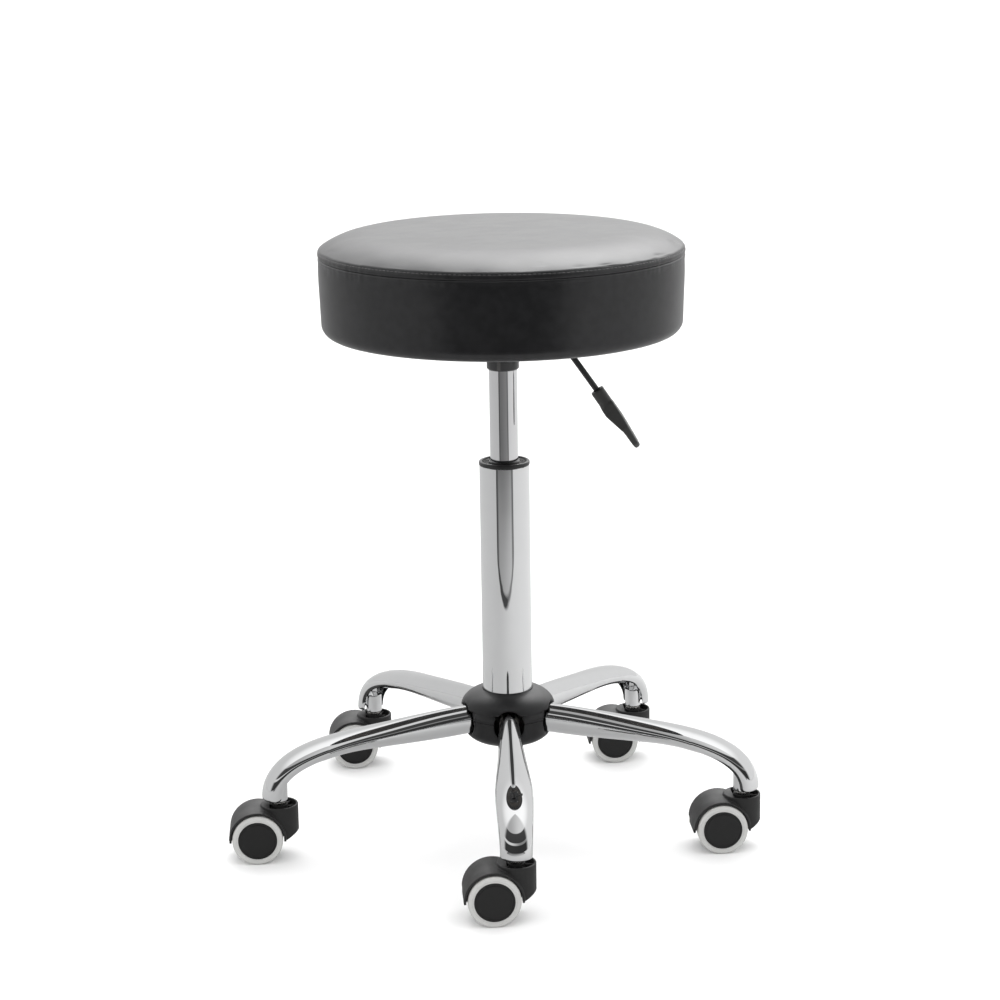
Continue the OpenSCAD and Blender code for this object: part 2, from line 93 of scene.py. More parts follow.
COVER = 1.2          # thickness of the vinyl
CROWN_FLAT = 110     # the top is flat inside this radius
CROWN_FALL = 13      # how far it falls from there to its rounded edge
CROWN_POWER = 3.2
SEAT_EDGE = 5        # radius of that edge
EDGE_FROM = math.radians(60)  # where the crown runs into the edge
SEAT_FOOT = 11       # radius of the cushion's lower edge
SEAT_TAPER = 2.5     # how much the side pulls in on its way down
BOARD_IN = 13        # distance from the cushion's side in to the board's edge
PLY = 2.4            # thickness of two plies of the board
HEM = 26             # width of the cover folded in under the board
SEAM_DOWN = 21       # depth of the seam below the seat top
STITCH_UP = 5.5      # distance from the seam up to the topstitching
STITCHES = 246
STAPLES = 52
PUFF_TOP = 0.8       # most that the padding may lift the top
PUFF_SIDE = 0.9      # most that the padding may push the side out
BOLT_R = 3
BOLT_FLATS = 9.2     # width of a bolt's head across its flats
BOLT_HEAD = 4        # height of that head
TUBE_WALL = 1.5
TUBE_TAPER = 53      # length of the tapered lower end of the tube
DISH_R = 22.4        # dish in the collar of the bush
DISH_DEPTH = 2.4
WIPER_W = 1.4        # width of the raised lip round the gas cylinder
SERRATIONS = 36      # teeth round the bright ring in the dish
SERRATION_DEPTH = 0.7
HUB_WALL = 2.6
HUB_SEAM = HUB_LOW   # height where the two hub covers meet
HUB_GAP = 0.12       # half width of the joint between them
HUB_FLAT = 42.5      # distance from the axis to the flat pad round each arm
PAD_Z = 113.5        # middle and half height of that pad
PAD_HALF = 16.5
DOME = (11.5, 128, 36, 20.5)  # oval of the upper cover's outline: its middle and its half axes
BOWL = (18, 106, 26, 14.5)    # the same for the lower cover
WAIST = (44.8, 123)  # radius and height of the outline between the two ovals
OPENING_R = 15       # half width of the opening for each arm
OPENING_Z = 118.4    # height of its middle
OPENING_STRAIGHT = 1.4  # half height of its straight sides
OPENING_FROM = 30    # distance from the axis where it starts
SLEEVE_R = 28        # where the arms leave the hub's sleeve
ARM_WALL = 1.5
ARM_ROOT_Z = 118.7
ARM_BEND = 150       # distance from the axis where the arm starts to bend down
ARM_FALL = 0.055     # fall of the straight part for each unit of length
ARM_END_R = BASE_R + 6.8
ARM_WIDEST = 165     # length along the arm where it is widest and flattest
ARM_HALF_WIDTHS = (10.6, 18, 15.1)  # at its root, where it is widest, and at its tip
ARM_HALF_HEIGHTS = (14.9, 10)       # at its root, and from where it is widest on
SLOT_FROM = 166      # length along the arm where the slot underneath starts
SLOT_ANGLE = 54      # half width of that slot, in degrees round the section
WEB = 7.3            # half thickness of the wall between a caster's wheels
WHEEL_IN = 8.2       # inner and outer faces of a wheel, from the caster's middle plane
WHEEL_OUT = 23.8
CORE_R = 19.2
HOOD_R = 28.3
HOOD_W = 22
HOOD_WALL = 2.3
FRONT_LIP = 22.5     # lower edges of the hood in front of the wheels, behind them and at its sides
REAR_LIP = 20
SIDE_LIP = 25
COLLAR_R = 18.6
RECESS_R = 16.6
RECESS_FLOOR = 49.5
RECESS_RIBS = 7
BOSS_R = 8.2
STEM_R = 5
STEM_LOW = 34
STEM_TOP = 78
FLANGE_R = 7.6
FLANGE_TOP = 58.4
GRIP_R = 5.35        # the stem above its flange, with a groove for the grip ring
GRIP_LOW = 66
GRIP_TOP = 71
NECK_R = 4.5         # neck that closes the socket of a stem
NECK_LOW = 81.5
NECK_TOP = 90
AXLE_R = 3
ELBOW_OUT = 35       # distance from the lever's pivot out to its bend
LEVER_R = 3
LEVER_SLOPE = math.radians(55)
LEVER_BEND_R = 12
HANDLE_AT = 61       # distance from the bend to the handle's mouth
HANDLE_LEN = 72
BORE_DEPTH = 8       # how far the rod reaches into the handle

# ---- Sizes of the meshes ----

SAME_POINT = 0.002   # points closer than this become one
LONG_SIDE = 8        # an outline's side longer than this gets a point near each end
BRACE = 0.5          # distance of those points from the ends
AROUND = 480         # columns of points round the seat
PADDING_IN = 3       # how far inside the skin the simulated padding starts
PADDING_CELL = 6     # size of the faces of its mesh
PADDING_HELD = 8     # it is held fast up to this height above the seat's foot
PADDING_FRAMES = 20
PADDING_REACH = 22   # the farthest that a point of it may move

# ---- Mesh tools ----


def new_mesh(name, points, faces, sharp=50):
    """Mesh from points in millimetres, smooth except at edges of more than sharp degrees."""
    mesh = bpy.data.meshes.new(name)
    mesh.from_pydata((np.asarray(points, float) * MM).tolist(), [], faces)
    work = bmesh.new()
    work.from_mesh(mesh)
    bmesh.ops.remove_doubles(work, verts=work.verts, dist=SAME_POINT * MM)
    bmesh.ops.dissolve_degenerate(work, edges=work.edges, dist=SAME_POINT / 2 * MM)
    bmesh.ops.recalc_face_normals(work, faces=work.faces)
    work.to_mesh(mesh)
    work.free()
    mesh.shade_smooth()
    mesh.set_sharp_from_angle(angle=math.radians(sharp))
    return mesh


def add_piece(name, mesh, body, slot, nodes=(), at=None, thick=0, look=None):
    """Puts a mesh into the scene as a piece that rides on a body, and that may stand for some CAD nodes.

    It looks like its material slot, unless look names another look."""
    piece = bpy.data.objects.new(name, mesh)
    scene.collection.objects.link(piece)
    if not mesh.materials:
        mesh.materials.append(LOOKS[look or slot])
    if at is not None:
        piece.matrix_world = at
    if thick:
        shell = piece.modifiers.new("thickness", "SOLIDIFY")
        shell.thickness = thick * MM
        shell.offset = -1
    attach(piece, body)
    if nodes:
        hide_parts(*nodes)
    return piece


def merge(parts):
    """One list of points and one of faces, from several such pairs."""
    points, faces = [], []
    for part_points, part_faces in parts:
        faces += [[corner + len(points) for corner in face] for face in part_faces]
        points += [tuple(point) for point in part_points]
    return points, faces


def grid_faces(rows, columns, wrap=False):
    """Faces of a grid of points that is stored row by row. With wrap, the last column joins the first."""
    last = columns if wrap else columns - 1
    return [
        [row * columns + i, row * columns + (i + 1) % columns,
         (row + 1) * columns + (i + 1) % columns, (row + 1) * columns + i]
        for row in range(rows - 1)
        for i in range(last)
    ]


def rounded(outline, radii, steps=5):
    """Closed outline with its corners turned into arcs. radii is one number, or one for each corner."""
    outline = np.array(outline, float)
    radii = np.broadcast_to(radii, len(outline))
    result = []
    for before, corner, after, radius in zip(
        np.roll(outline, 1, 0), outline, np.roll(outline, -1, 0), radii
    ):
        back, ahead = before - corner, after - corner
        room = 0.49 * min(np.linalg.norm(back), np.linalg.norm(ahead))
        back, ahead = back / np.linalg.norm(back), ahead / np.linalg.norm(ahead)
        half = math.acos(np.clip(back @ ahead, -1, 1)) / 2
        if radius <= 0 or half > math.radians(89):
            result.append(corner)
            continue
        reach = min(radius / math.tan(half), room)
        radius = reach * math.tan(half)
        centre = corner + (back + ahead) / np.linalg.norm(back + ahead) * radius / math.sin(half)
        start, end = corner + back * reach - centre, corner + ahead * reach - centre
        bend = math.pi - 2 * half
        for step in range(steps + 1):
            share = step / steps
            arm = (math.sin((1 - share) * bend) * start + math.sin(share * bend) * end) / math.sin(bend)
            result.append(centre + arm)
    return result


def braced(outline):
    """Closed outline with a point near each end of its long sides, so that these are shaded straight."""
    outline = np.array(outline, float)
    result = []
    for here, after in zip(outline, np.roll(outline, -1, 0)):
        result.append(here)
        length = np.linalg.norm(after - here)
        on_axis = here[0] == after[0] == 0
        if length > LONG_SIDE and not on_axis:
            result += [here + (after - here) * share for share in (BRACE / length, 1 - BRACE / length)]
    return result


def lathe(name, outline, turns=128):
    """Mesh of a closed outline of (radius, height) points turned about the Z axis."""
    around = np.arange(turns) * TURN / turns
    points, rings = [], []
    for radius, height in braced(outline):
        start = len(points)
        if abs(radius) < 1e-6:
            points.append((0, 0, height))
            rings.append([start] * turns)
        else:
            points += [(radius * math.cos(a), radius * math.sin(a), height) for a in around]
            rings.append(list(range(start, start + turns)))
    faces = []
    for ring, after in zip(rings, rings[1:] + rings[:1]):
        for i in range(turns):
            j = (i + 1) % turns
            corners = list(dict.fromkeys([ring[i], ring[j], after[j], after[i]]))
            if len(corners) > 2:
                faces.append(corners)
    return new_mesh(name, points, faces)


def sweep(path, half_widths, half_heights, across, power=2, sides=24):
    """Points and faces of a closed bar along a flat path. across is the direction square to its plane.

    A power of 2 gives an ellipse as section, and a higher one a squarer shape."""
    path = np.array(path, float)
    across = np.array(across, float)
    along = np.gradient(path, axis=0)
    along /= np.linalg.norm(along, axis=1)[:, None]
    up = np.cross(along, across)
    angle = np.arange(sides) * TURN / sides
    power = np.broadcast_to(power, len(path))[:, None]
    cos, sin = np.cos(angle)[None, :], np.sin(angle)[None, :]
    wide = np.sign(cos) * np.abs(cos) ** (2 / power) * np.broadcast_to(half_widths, len(path))[:, None]
    high = np.sign(sin) * np.abs(sin) ** (2 / power) * np.broadcast_to(half_heights, len(path))[:, None]
    points = path[:, None] + wide[..., None] * across + high[..., None] * up[:, None]
    faces = grid_faces(len(path), sides, wrap=True)
    last = (len(path) - 1) * sides
    faces += [list(range(sides))[::-1], list(range(last, last + sides))]
    return points.reshape(-1, 3), faces


# ---- Solids from a distance: each function gives how far a point is outside, negative inside ----


def smooth_min(a, b, fillet):
    """Union of two distances, with a fillet in the corner."""
    share = np.clip(0.5 + 0.5 * (b - a) / fillet, 0, 1)
    return b + (a - b) * share - fillet * share * (1 - share)


def smooth_max(a, b, fillet):
    """Intersection of two distances, with the edge rounded."""
    return -smooth_min(-a, -b, fillet)


def outline_distance(u, v, outline):
    """Distance from the points (u, v) to a closed outline, negative inside it."""
    best = np.full(u.shape, 1e9)
    inside = np.zeros(u.shape, bool)
    outline = np.array(outline, float)
    for (u1, v1), (u2, v2) in zip(outline, np.roll(outline, -1, 0)):
        du, dv = u2 - u1, v2 - v1
        share = np.clip(((u - u1) * du + (v - v1) * dv) / (du * du + dv * dv), 0, 1)
        best = np.minimum(best, (u - u1 - share * du) ** 2 + (v - v1 - share * dv) ** 2)
        if v1 != v2:
            inside ^= ((v1 > v) != (v2 > v)) & (u < u1 + (v - v1) / dv * du)
    return np.where(inside, -1, 1) * np.sqrt(best)


def solid(distance, low, high, step):
    """Points and faces of the surface where distance(x, y, z) is 0, found on a grid between two corners.

    Each cell that the surface crosses has one point, which is moved onto it along the slope of distance."""
    low = np.array(low, float)
    counts = np.ceil((np.array(high) - low) / step).astype(int) + 1
    axes = [low[k] + step * np.arange(counts[k]) for k in range(3)]
    field = distance(*np.meshgrid(*axes, indexing="ij"))
    inside = field < 0
    corners = [(i, j, k) for i in (0, 1) for j in (0, 1) for k in (0, 1)]
    cells = counts - 1

    def corner_values(values, corner):
        return values[tuple(slice(c, c + n) for c, n in zip(corner, cells))]

    filled = sum(corner_values(inside, corner).astype(int) for corner in corners)
    crossed = (filled > 0) & (filled < 8)
    number = np.full(cells, -1)
    number[crossed] = np.arange(crossed.sum())
    total = np.zeros((crossed.sum(), 3))
    hits = np.zeros(crossed.sum())
    for corner in corners:
        for axis in range(3):
            if corner[axis]:
                continue
            other = tuple(c + (k == axis) for k, c in enumerate(corner))
            near = corner_values(field, corner)[crossed]
            far = corner_values(field, other)[crossed]
            cut = (near < 0) != (far < 0)
            share = np.where(cut, near / np.where(cut, near - far, 1), 0)
            place = np.array(corner, float)[None, :] + share[:, None] * np.eye(3)[axis]
            total += place * cut[:, None]
            hits += cut
    points = low + step * (np.argwhere(crossed) + total / hits[:, None])
    faces = []
    for axis in range(3):
        b, c = (axis + 1) % 3, (axis + 2) % 3
        near = np.take(inside, range(counts[axis] - 1), axis)
        far = np.take(inside, range(1, counts[axis]), axis)
        at = np.argwhere(near != far)
        at = at[(at[:, b] > 0) & (at[:, c] > 0) & (at[:, b] < cells[b]) & (at[:, c] < cells[c])]
        ring = []
        for step_b, step_c in ((1, 1), (0, 1), (0, 0), (1, 0)):
            cell = at.copy()
            cell[:, b] -= step_b
            cell[:, c] -= step_c
            ring.append(number[tuple(cell.T)])
        faces += np.stack(ring, 1).tolist()
    return settle(points, distance, step), faces


def settle(points, distance, step, rounds=3):
    """Moves points onto the surface where distance is 0, by a part of a grid step in each round."""
    reach = step / 20
    longest = 0.4 * step
    least_slope = 0.05
    for _ in range(rounds):
        value = distance(*points.T)
        slope = np.stack(
            [
                distance(*(points + reach * np.eye(3)[k]).T) - distance(*(points - reach * np.eye(3)[k]).T)
                for k in range(3)
            ],
            1,
        ) / (2 * reach)
        size = np.maximum((slope ** 2).sum(1), least_slope)
        move = -slope * (value / size)[:, None]
        length = np.maximum(np.linalg.norm(move, axis=1), 1e-9)
        points = points + move * np.minimum(1, longest / length)[:, None]
    return points


# ---- Materials ----


class Graph:
    """Short calls for building a node tree. Sizes are in millimetres."""

    def __init__(self, tree):
        self.tree = tree

    def add(self, kind, inputs=None, **settings):
        node = self.tree.nodes.new(kind)
        for key, value in settings.items():
            setattr(node, key, value)
        for socket, value in (inputs or {}).items():
            self.feed(node.inputs[socket], value)
        return node

    def feed(self, socket, value):
        if isinstance(value, bpy.types.NodeSocket):
            self.tree.links.new(value, socket)
        else:
            socket.default_value = value

    def math(self, operation, a, b=0.0):
        return self.add("ShaderNodeMath", {0: a, 1: b}, operation=operation).outputs[0]

    def product(self, first, *others):
        """All the values multiplied together."""
        for other in others:
            first = self.math("MULTIPLY", first, other)
        return first

    def length(self, a, b):
        """Square root of a squared plus b squared."""
        return self.math("SQRT", self.math("ADD", self.product(a, a), self.product(b, b)))

    def ramp(self, value, start, end, low=0.0, high=1.0, kind="SMOOTHSTEP"):
        """value taken from the range start to end onto the range low to high, with soft ends or LINEAR."""
        settings = {"Value": value, "From Min": start, "From Max": end, "To Min": low, "To Max": high}
        return self.add("ShaderNodeMapRange", settings, interpolation_type=kind).outputs[0]

    def parts(self, vector):
        return self.add("ShaderNodeSeparateXYZ", {0: vector}).outputs

    def stretched(self, place, x, y, z):
        """Coordinates divided by x, y and z, so that a texture is longer that way."""
        scale = (1 / x, 1 / y, 1 / z)
        return self.add("ShaderNodeMapping", {"Vector": place, "Scale": scale}).outputs[0]

    def noise(self, place, size, detail=2.0, roughness=0.5):
        settings = {"Vector": place, "Scale": 1 / (size * MM), "Detail": detail, "Roughness": roughness}
        return self.add("ShaderNodeTexNoise", settings).outputs["Fac"]

    def cells(self, place, size, feature="F1"):
        settings = {"Vector": place, "Scale": 1 / (size * MM)}
        return self.add("ShaderNodeTexVoronoi", settings, feature=feature).outputs["Distance"]

    def blend(self, share, a, b):
        node = self.add("ShaderNodeMix", data_type="RGBA")
        self.feed(node.inputs["Factor"], share)
        for socket, colour in ((node.inputs[6], a), (node.inputs[7], b)):
            self.feed(socket, (*colour, 1) if isinstance(colour, tuple) else colour)
        return node.outputs[2]

    def bump(self, height, depth, normal=None):
        """Normal bent by a height between 0 and 1 that stands for depth millimetres."""
        node = self.add("ShaderNodeBump", {"Height": height, "Distance": depth * MM, "Strength": 1.0})
        if normal is not None:
            self.feed(node.inputs["Normal"], normal)
        return node.outputs[0]


class Look(Graph):
    """A material. place gives the coordinates on the piece, and shader is its surface."""

    def __init__(self, name, metal=0.0, **inputs):
        self.material = bpy.data.materials.new(name)
        self.material.use_nodes = True
        super().__init__(self.material.node_tree)
        self.shader = self.tree.nodes["Principled BSDF"]
        self.place = self.add("ShaderNodeTexCoord").outputs["Object"]
        self.set(Metallic=metal, **inputs)

    def set(self, **inputs):
        for name, value in inputs.items():
            self.feed(self.shader.inputs[name.replace("_", " ")], value)

    def edge_wear(self, base, worn, amount=0.5):
        """Colour that turns towards worn on outer edges, unevenly."""
        point = self.add("ShaderNodeNewGeometry").outputs["Pointiness"]
        edge = self.ramp(point, 0.52, 0.6, 0.0, amount)
        return self.blend(self.product(edge, self.noise(self.place, 9, 4)), base, worn)


def vinyl_look():
    """Black faux leather: fine pebble grain, soft sheen, faint smears."""
    look = Look("vinyl", Specular_IOR_Level=0.5)
    smear = look.noise(look.place, 45, 4, 0.6)
    mottle = look.noise(look.place, 9, 3)
    grain = look.cells(look.place, 0.9)
    fine = look.noise(look.place, 0.35, 3)
    base = look.blend(look.ramp(mottle, 0.3, 0.7), (0.007, 0.007, 0.0078), (0.0105, 0.0105, 0.0115))
    look.set(Base_Color=base)
    rough = look.math("ADD", look.ramp(smear, 0.3, 0.7, 0.29, 0.33), look.ramp(grain, 0.1, 0.6, 0.03, 0.0))
    look.set(Roughness=rough)
    normal = look.bump(grain, 0.018)
    normal = look.bump(fine, 0.01, normal)
    look.set(Normal=look.bump(look.noise(look.place, 22, 2), 0.08, normal))
    return look.material


def thread_look():
    """Twisted polyester thread."""
    look = Look("thread", Roughness=0.55, Sheen_Weight=0.3)
    ply = look.noise(look.place, 0.25, 2)
    look.set(Base_Color=look.blend(ply, (0.012, 0.012, 0.013), (0.05, 0.05, 0.05)))
    look.set(Normal=look.bump(ply, 0.08))
    return look.material


def chrome_look(name, tint, wave):
    """Chromium plate: a sharp mirror over metal with very shallow waves, wave millimetres deep."""
    look = Look(name, metal=1.0, Roughness=0.0)
    haze = look.noise(look.place, 30, 4, 0.6)
    dark = tuple(0.93 * part for part in tint)
    look.set(Base_Color=look.blend(haze, dark, tint))
    normal = look.bump(look.noise(look.place, 26, 1), wave)
    look.set(Normal=look.bump(look.noise(look.place, 1.2, 2), 0.0006, normal))
    return look.material


def steel_look(name, tint, rough, grain=(1, 1, 1)):
    """Ground or turned steel. grain stretches the grinding lines along X, Y or Z."""
    look = Look(name, metal=1.0)
    lines = look.noise(look.stretched(look.place, *grain), 0.5, 4, 0.7)
    stain = look.noise(look.place, 14, 3)
    dark = tuple(0.7 * part for part in tint)
    look.set(Base_Color=look.blend(look.ramp(stain, 0.35, 0.75), tint, dark))
    look.set(Roughness=look.ramp(lines, 0.2, 0.8, rough * 0.8, rough * 1.3))
    look.set(Normal=look.bump(lines, 0.006))
    return look.material


def plastic_look(name, base, rough, texture=0.45, worn=(0.12, 0.12, 0.12), shine=0.5):
    """Moulded plastic with a fine spark-eroded texture, lighter along its edges."""
    look = Look(name, Specular_IOR_Level=shine)
    flow = look.noise(look.place, 25, 3)
    speckle = look.noise(look.place, texture, 3, 0.6)
    light = tuple(1.35 * part for part in base)
    look.set(Base_Color=look.edge_wear(look.blend(flow, base, light), worn))
    look.set(Roughness=look.ramp(flow, 0.3, 0.7, rough - 0.05, rough + 0.07))
    look.set(Normal=look.bump(speckle, 0.03))
    return look.material


def paint_look():
    """Black powder coat with its orange-peel surface."""
    look = Look("black_paint", Coat_Weight=0.15)
    peel = look.noise(look.place, 1.6, 2)
    look.set(Base_Color=look.edge_wear((0.013, 0.013, 0.014), (0.16, 0.15, 0.14), 0.4))
    look.set(Roughness=look.ramp(look.noise(look.place, 18, 3), 0.3, 0.7, 0.34, 0.46))
    look.set(Normal=look.bump(peel, 0.05))
    return look.material


def tyre_look():
    """Light grey polyurethane tread with a little floor dust on it."""
    look = Look("tread", Specular_IOR_Level=0.4)
    dust = look.noise(look.place, 7, 5, 0.65)
    x, y, _ = look.parts(look.place)[:3]
    rolling = look.ramp(look.length(x, y), (WHEEL_R - 1.5) * MM, WHEEL_R * MM)
    dirt = look.product(rolling, look.ramp(dust, 0.35, 0.75, 0.15, 0.75))
    clean = look.blend(dust, (0.42, 0.42, 0.41), (0.50, 0.50, 0.49))
    look.set(Base_Color=look.blend(dirt, clean, (0.30, 0.29, 0.27)))
    look.set(Roughness=look.ramp(dust, 0.3, 0.7, 0.42, 0.58))
    look.set(Normal=look.bump(look.noise(look.place, 0.5, 3), 0.03))
    return look.material


def board_look():
    """Plywood stained black: the grain still shows in the stain, and the plies show on the edge."""
    look = Look("board", Roughness=0.6)
    _, y, z = look.parts(look.place)[:3]
    figure = look.noise(look.stretched(look.place, 6, 1, 1), 9, 5, 0.6)
    rings = look.math("SINE", look.math("ADD", look.product(y, 260.0), look.product(figure, 22.0)))
    face = look.blend(look.ramp(rings, -1, 1, 0.1, 0.9), (0.020, 0.017, 0.015), (0.040, 0.033, 0.028))
    ply = look.ramp(look.math("SINE", look.product(z, TURN / (PLY * MM))), -0.3, 0.3)
    edge = look.blend(ply, (0.05, 0.04, 0.03), (0.025, 0.02, 0.016))
    level = look.parts(look.add("ShaderNodeNewGeometry").outputs["Normal"])[2]
    is_face = look.ramp(look.math("ABSOLUTE", level), 0.4, 0.6)
    pores = look.noise(look.stretched(look.place, 12, 1, 1), 0.7, 3)
    look.set(Base_Color=look.blend(is_face, edge, face), Normal=look.bump(pores, 0.08))
    return look.material


def foam_look():
    """Cut polyurethane foam with open cells."""
    look = Look("foam", Roughness=0.9, Sheen_Weight=0.2)
    cell = look.cells(look.place, 1.1)
    patch = look.noise(look.place, 40, 3)
    look.set(Base_Color=look.blend(patch, (0.74, 0.66, 0.40), (0.66, 0.56, 0.30)))
    look.set(Normal=look.bump(cell, 0.4))
    return look.material


def rubber_look():
    """Matt black rubber."""
    look = Look("rubber", Specular_IOR_Level=0.3)
    bloom = look.noise(look.place, 6, 4)
    look.set(Base_Color=look.blend(bloom, (0.012, 0.012, 0.012), (0.035, 0.034, 0.033)))
    look.set(Roughness=look.ramp(bloom, 0.3, 0.7, 0.6, 0.8))
    look.set(Normal=look.bump(look.noise(look.place, 0.4, 3), 0.04))
    return look.material


LOOKS = {
    "vinyl": vinyl_look(),
    "thread": thread_look(),
    "foam": foam_look(),
    "plywood": board_look(),
    "chrome": chrome_look("chrome", (0.90, 0.905, 0.91), 0.05),
    "lift_chrome": chrome_look("lift_chrome", (0.86, 0.86, 0.87), 0.012),
    "bright_steel": steel_look("bright_steel", (0.74, 0.73, 0.71), 0.24),
    "dark_steel": steel_look("dark_steel", (0.20, 0.19, 0.18), 0.42),
    "black_paint": paint_look(),
    "hub_plastic": plastic_look(
        "hub_plastic", (0.012, 0.012, 0.0125), 0.36, worn=(0.02, 0.02, 0.02), shine=0.25
    ),
    "bush_plastic": plastic_look("bush_plastic", (0.010, 0.010, 0.010), 0.34),
    "handle_plastic": plastic_look("handle_plastic", (0.024, 0.024, 0.023), 0.38),
    "hood_plastic": plastic_look("hood_plastic", (0.014, 0.014, 0.014), 0.5, 0.6, (0.06, 0.06, 0.06), 0.3),
    "wheel_plastic": plastic_look("wheel_plastic", (0.006, 0.006, 0.006), 0.45, worn=(0.04, 0.04, 0.04)),
    "tread": tyre_look(),
    "rubber": rubber_look(),
}

# ---- Seat ----


def arc_lengths(points):
    """Length along a line of points, up to each of them."""
    steps = np.linalg.norm(np.diff(points, axis=0), axis=1)
    return np.concatenate([[0], np.cumsum(steps)])


def cushion_side(inset):
    """Open outline of the cushion, from the middle of its top round to the edge of the hem underneath."""
    top, low = SEAT_TOP - inset, SEAT_LOW + inset
    turn = np.linspace(EDGE_FROM, 0, 12)
    edge_middle = (SEAT_R - SEAT_EDGE, SEAT_TOP - CROWN_FALL - SEAT_EDGE * math.sin(EDGE_FROM))
    edge = edge_middle + (SEAT_EDGE - inset) * np.stack([np.cos(turn), np.sin(turn)], 1)
    share = np.linspace(0, 1, 30, endpoint=False)
    crown = np.stack([
        CROWN_FLAT + (edge[0, 0] - CROWN_FLAT) * share,
        top + (edge[0, 1] - top) * share ** CROWN_POWER,
    ], 1)
    turn = np.linspace(0, -math.pi / 2, 16)
    foot_middle = (SEAT_R - SEAT_TAPER - SEAT_FOOT, SEAT_LOW + SEAT_FOOT)
    foot = foot_middle + (SEAT_FOOT - inset) * np.stack([np.cos(turn), np.sin(turn)], 1)
    return np.concatenate([[(0, top)], crown, edge, foot, [(SEAT_R - BOARD_IN - HEM, low)]])


def wobble(angle, seed, periods, size):
    """Smooth random wave round the seat. It has each number of periods once, and size is its usual height."""
    random = np.random.default_rng(seed)
    total = np.zeros_like(angle)
    for count in periods:
        total += random.normal() * np.sin(count * angle + random.uniform(0, TURN))
    return total * size / math.sqrt(len(periods))


def simulate_padding():
    """Cloth simulation of the padded cover. Gives where its points start and how far each of them moves."""
    side = cushion_side(PADDING_IN)
    mesh = lathe("padding", [(0, SEAT_LOW + PADDING_IN)] + [tuple(p) for p in side], 96)
    pad = bpy.data.objects.new("padding", mesh)
    scene.collection.objects.link(pad)
    remesh = pad.modifiers.new("even", "REMESH")
    remesh.mode = "VOXEL"
    remesh.voxel_size = PADDING_CELL * MM
    graph = bpy.context.evaluated_depsgraph_get()
    even = bpy.data.meshes.new_from_object(pad.evaluated_get(graph))
    pad.modifiers.clear()
    pad.data = even
    start = np.array([v.co for v in even.vertices]) / MM
    angle = np.arctan2(start[:, 1], start[:, 0])
    radius = np.hypot(start[:, 0], start[:, 1])
    uneven = wobble(angle, 5, range(2, 9), 0.5) * radius / SEAT_R
    start[:, 2] += uneven * (start[:, 2] > (SEAT_TOP + SEAT_LOW) / 2)
    even.vertices.foreach_set("co", (start * MM).ravel())
    held = pad.vertex_groups.new(name="board")
    held.add([i for i, z in enumerate(start[:, 2]) if z < SEAT_LOW + PADDING_HELD], 1.0, "REPLACE")
    cloth = pad.modifiers.new("cloth", "CLOTH")
    cloth.settings.quality = 6
    cloth.settings.use_pressure = True
    cloth.settings.uniform_pressure_force = 4
    cloth.settings.tension_stiffness = 25
    cloth.settings.compression_stiffness = 25
    cloth.settings.bending_stiffness = 2
    cloth.settings.vertex_group_mass = "board"
    cloth.settings.effector_weights.gravity = 0
    cloth.point_cache.frame_start = 1
    cloth.point_cache.frame_end = PADDING_FRAMES
    for step in range(1, PADDING_FRAMES + 1):
        scene.frame_set(step)
    graph = bpy.context.evaluated_depsgraph_get()
    end = np.array([v.co for v in pad.evaluated_get(graph).data.vertices]) / MM
    bpy.data.objects.remove(pad)
    scene.frame_set(1)
    return start, np.clip(end - start, -PADDING_REACH, PADDING_REACH)


def padding_at(points, start, moved):
    """How far the simulated cover has moved next to each point."""
    neighbours = 6
    tree = KDTree(len(start))
    for i, place in enumerate(start):
        tree.insert(place, i)
    tree.balance()
    result = np.zeros_like(points)
    for i, point in enumerate(points):
        found = tree.find_n(point, neighbours)
        weights = np.array([1 / (distance + 1) ** 2 for _, _, distance in found])
        result[i] = weights @ moved[[index for _, index, _ in found]] / weights.sum()
    return result


def bell(distance, width):
    """1 at no distance, falling away smoothly to either side."""
    return np.exp(-((distance / width) ** 2))


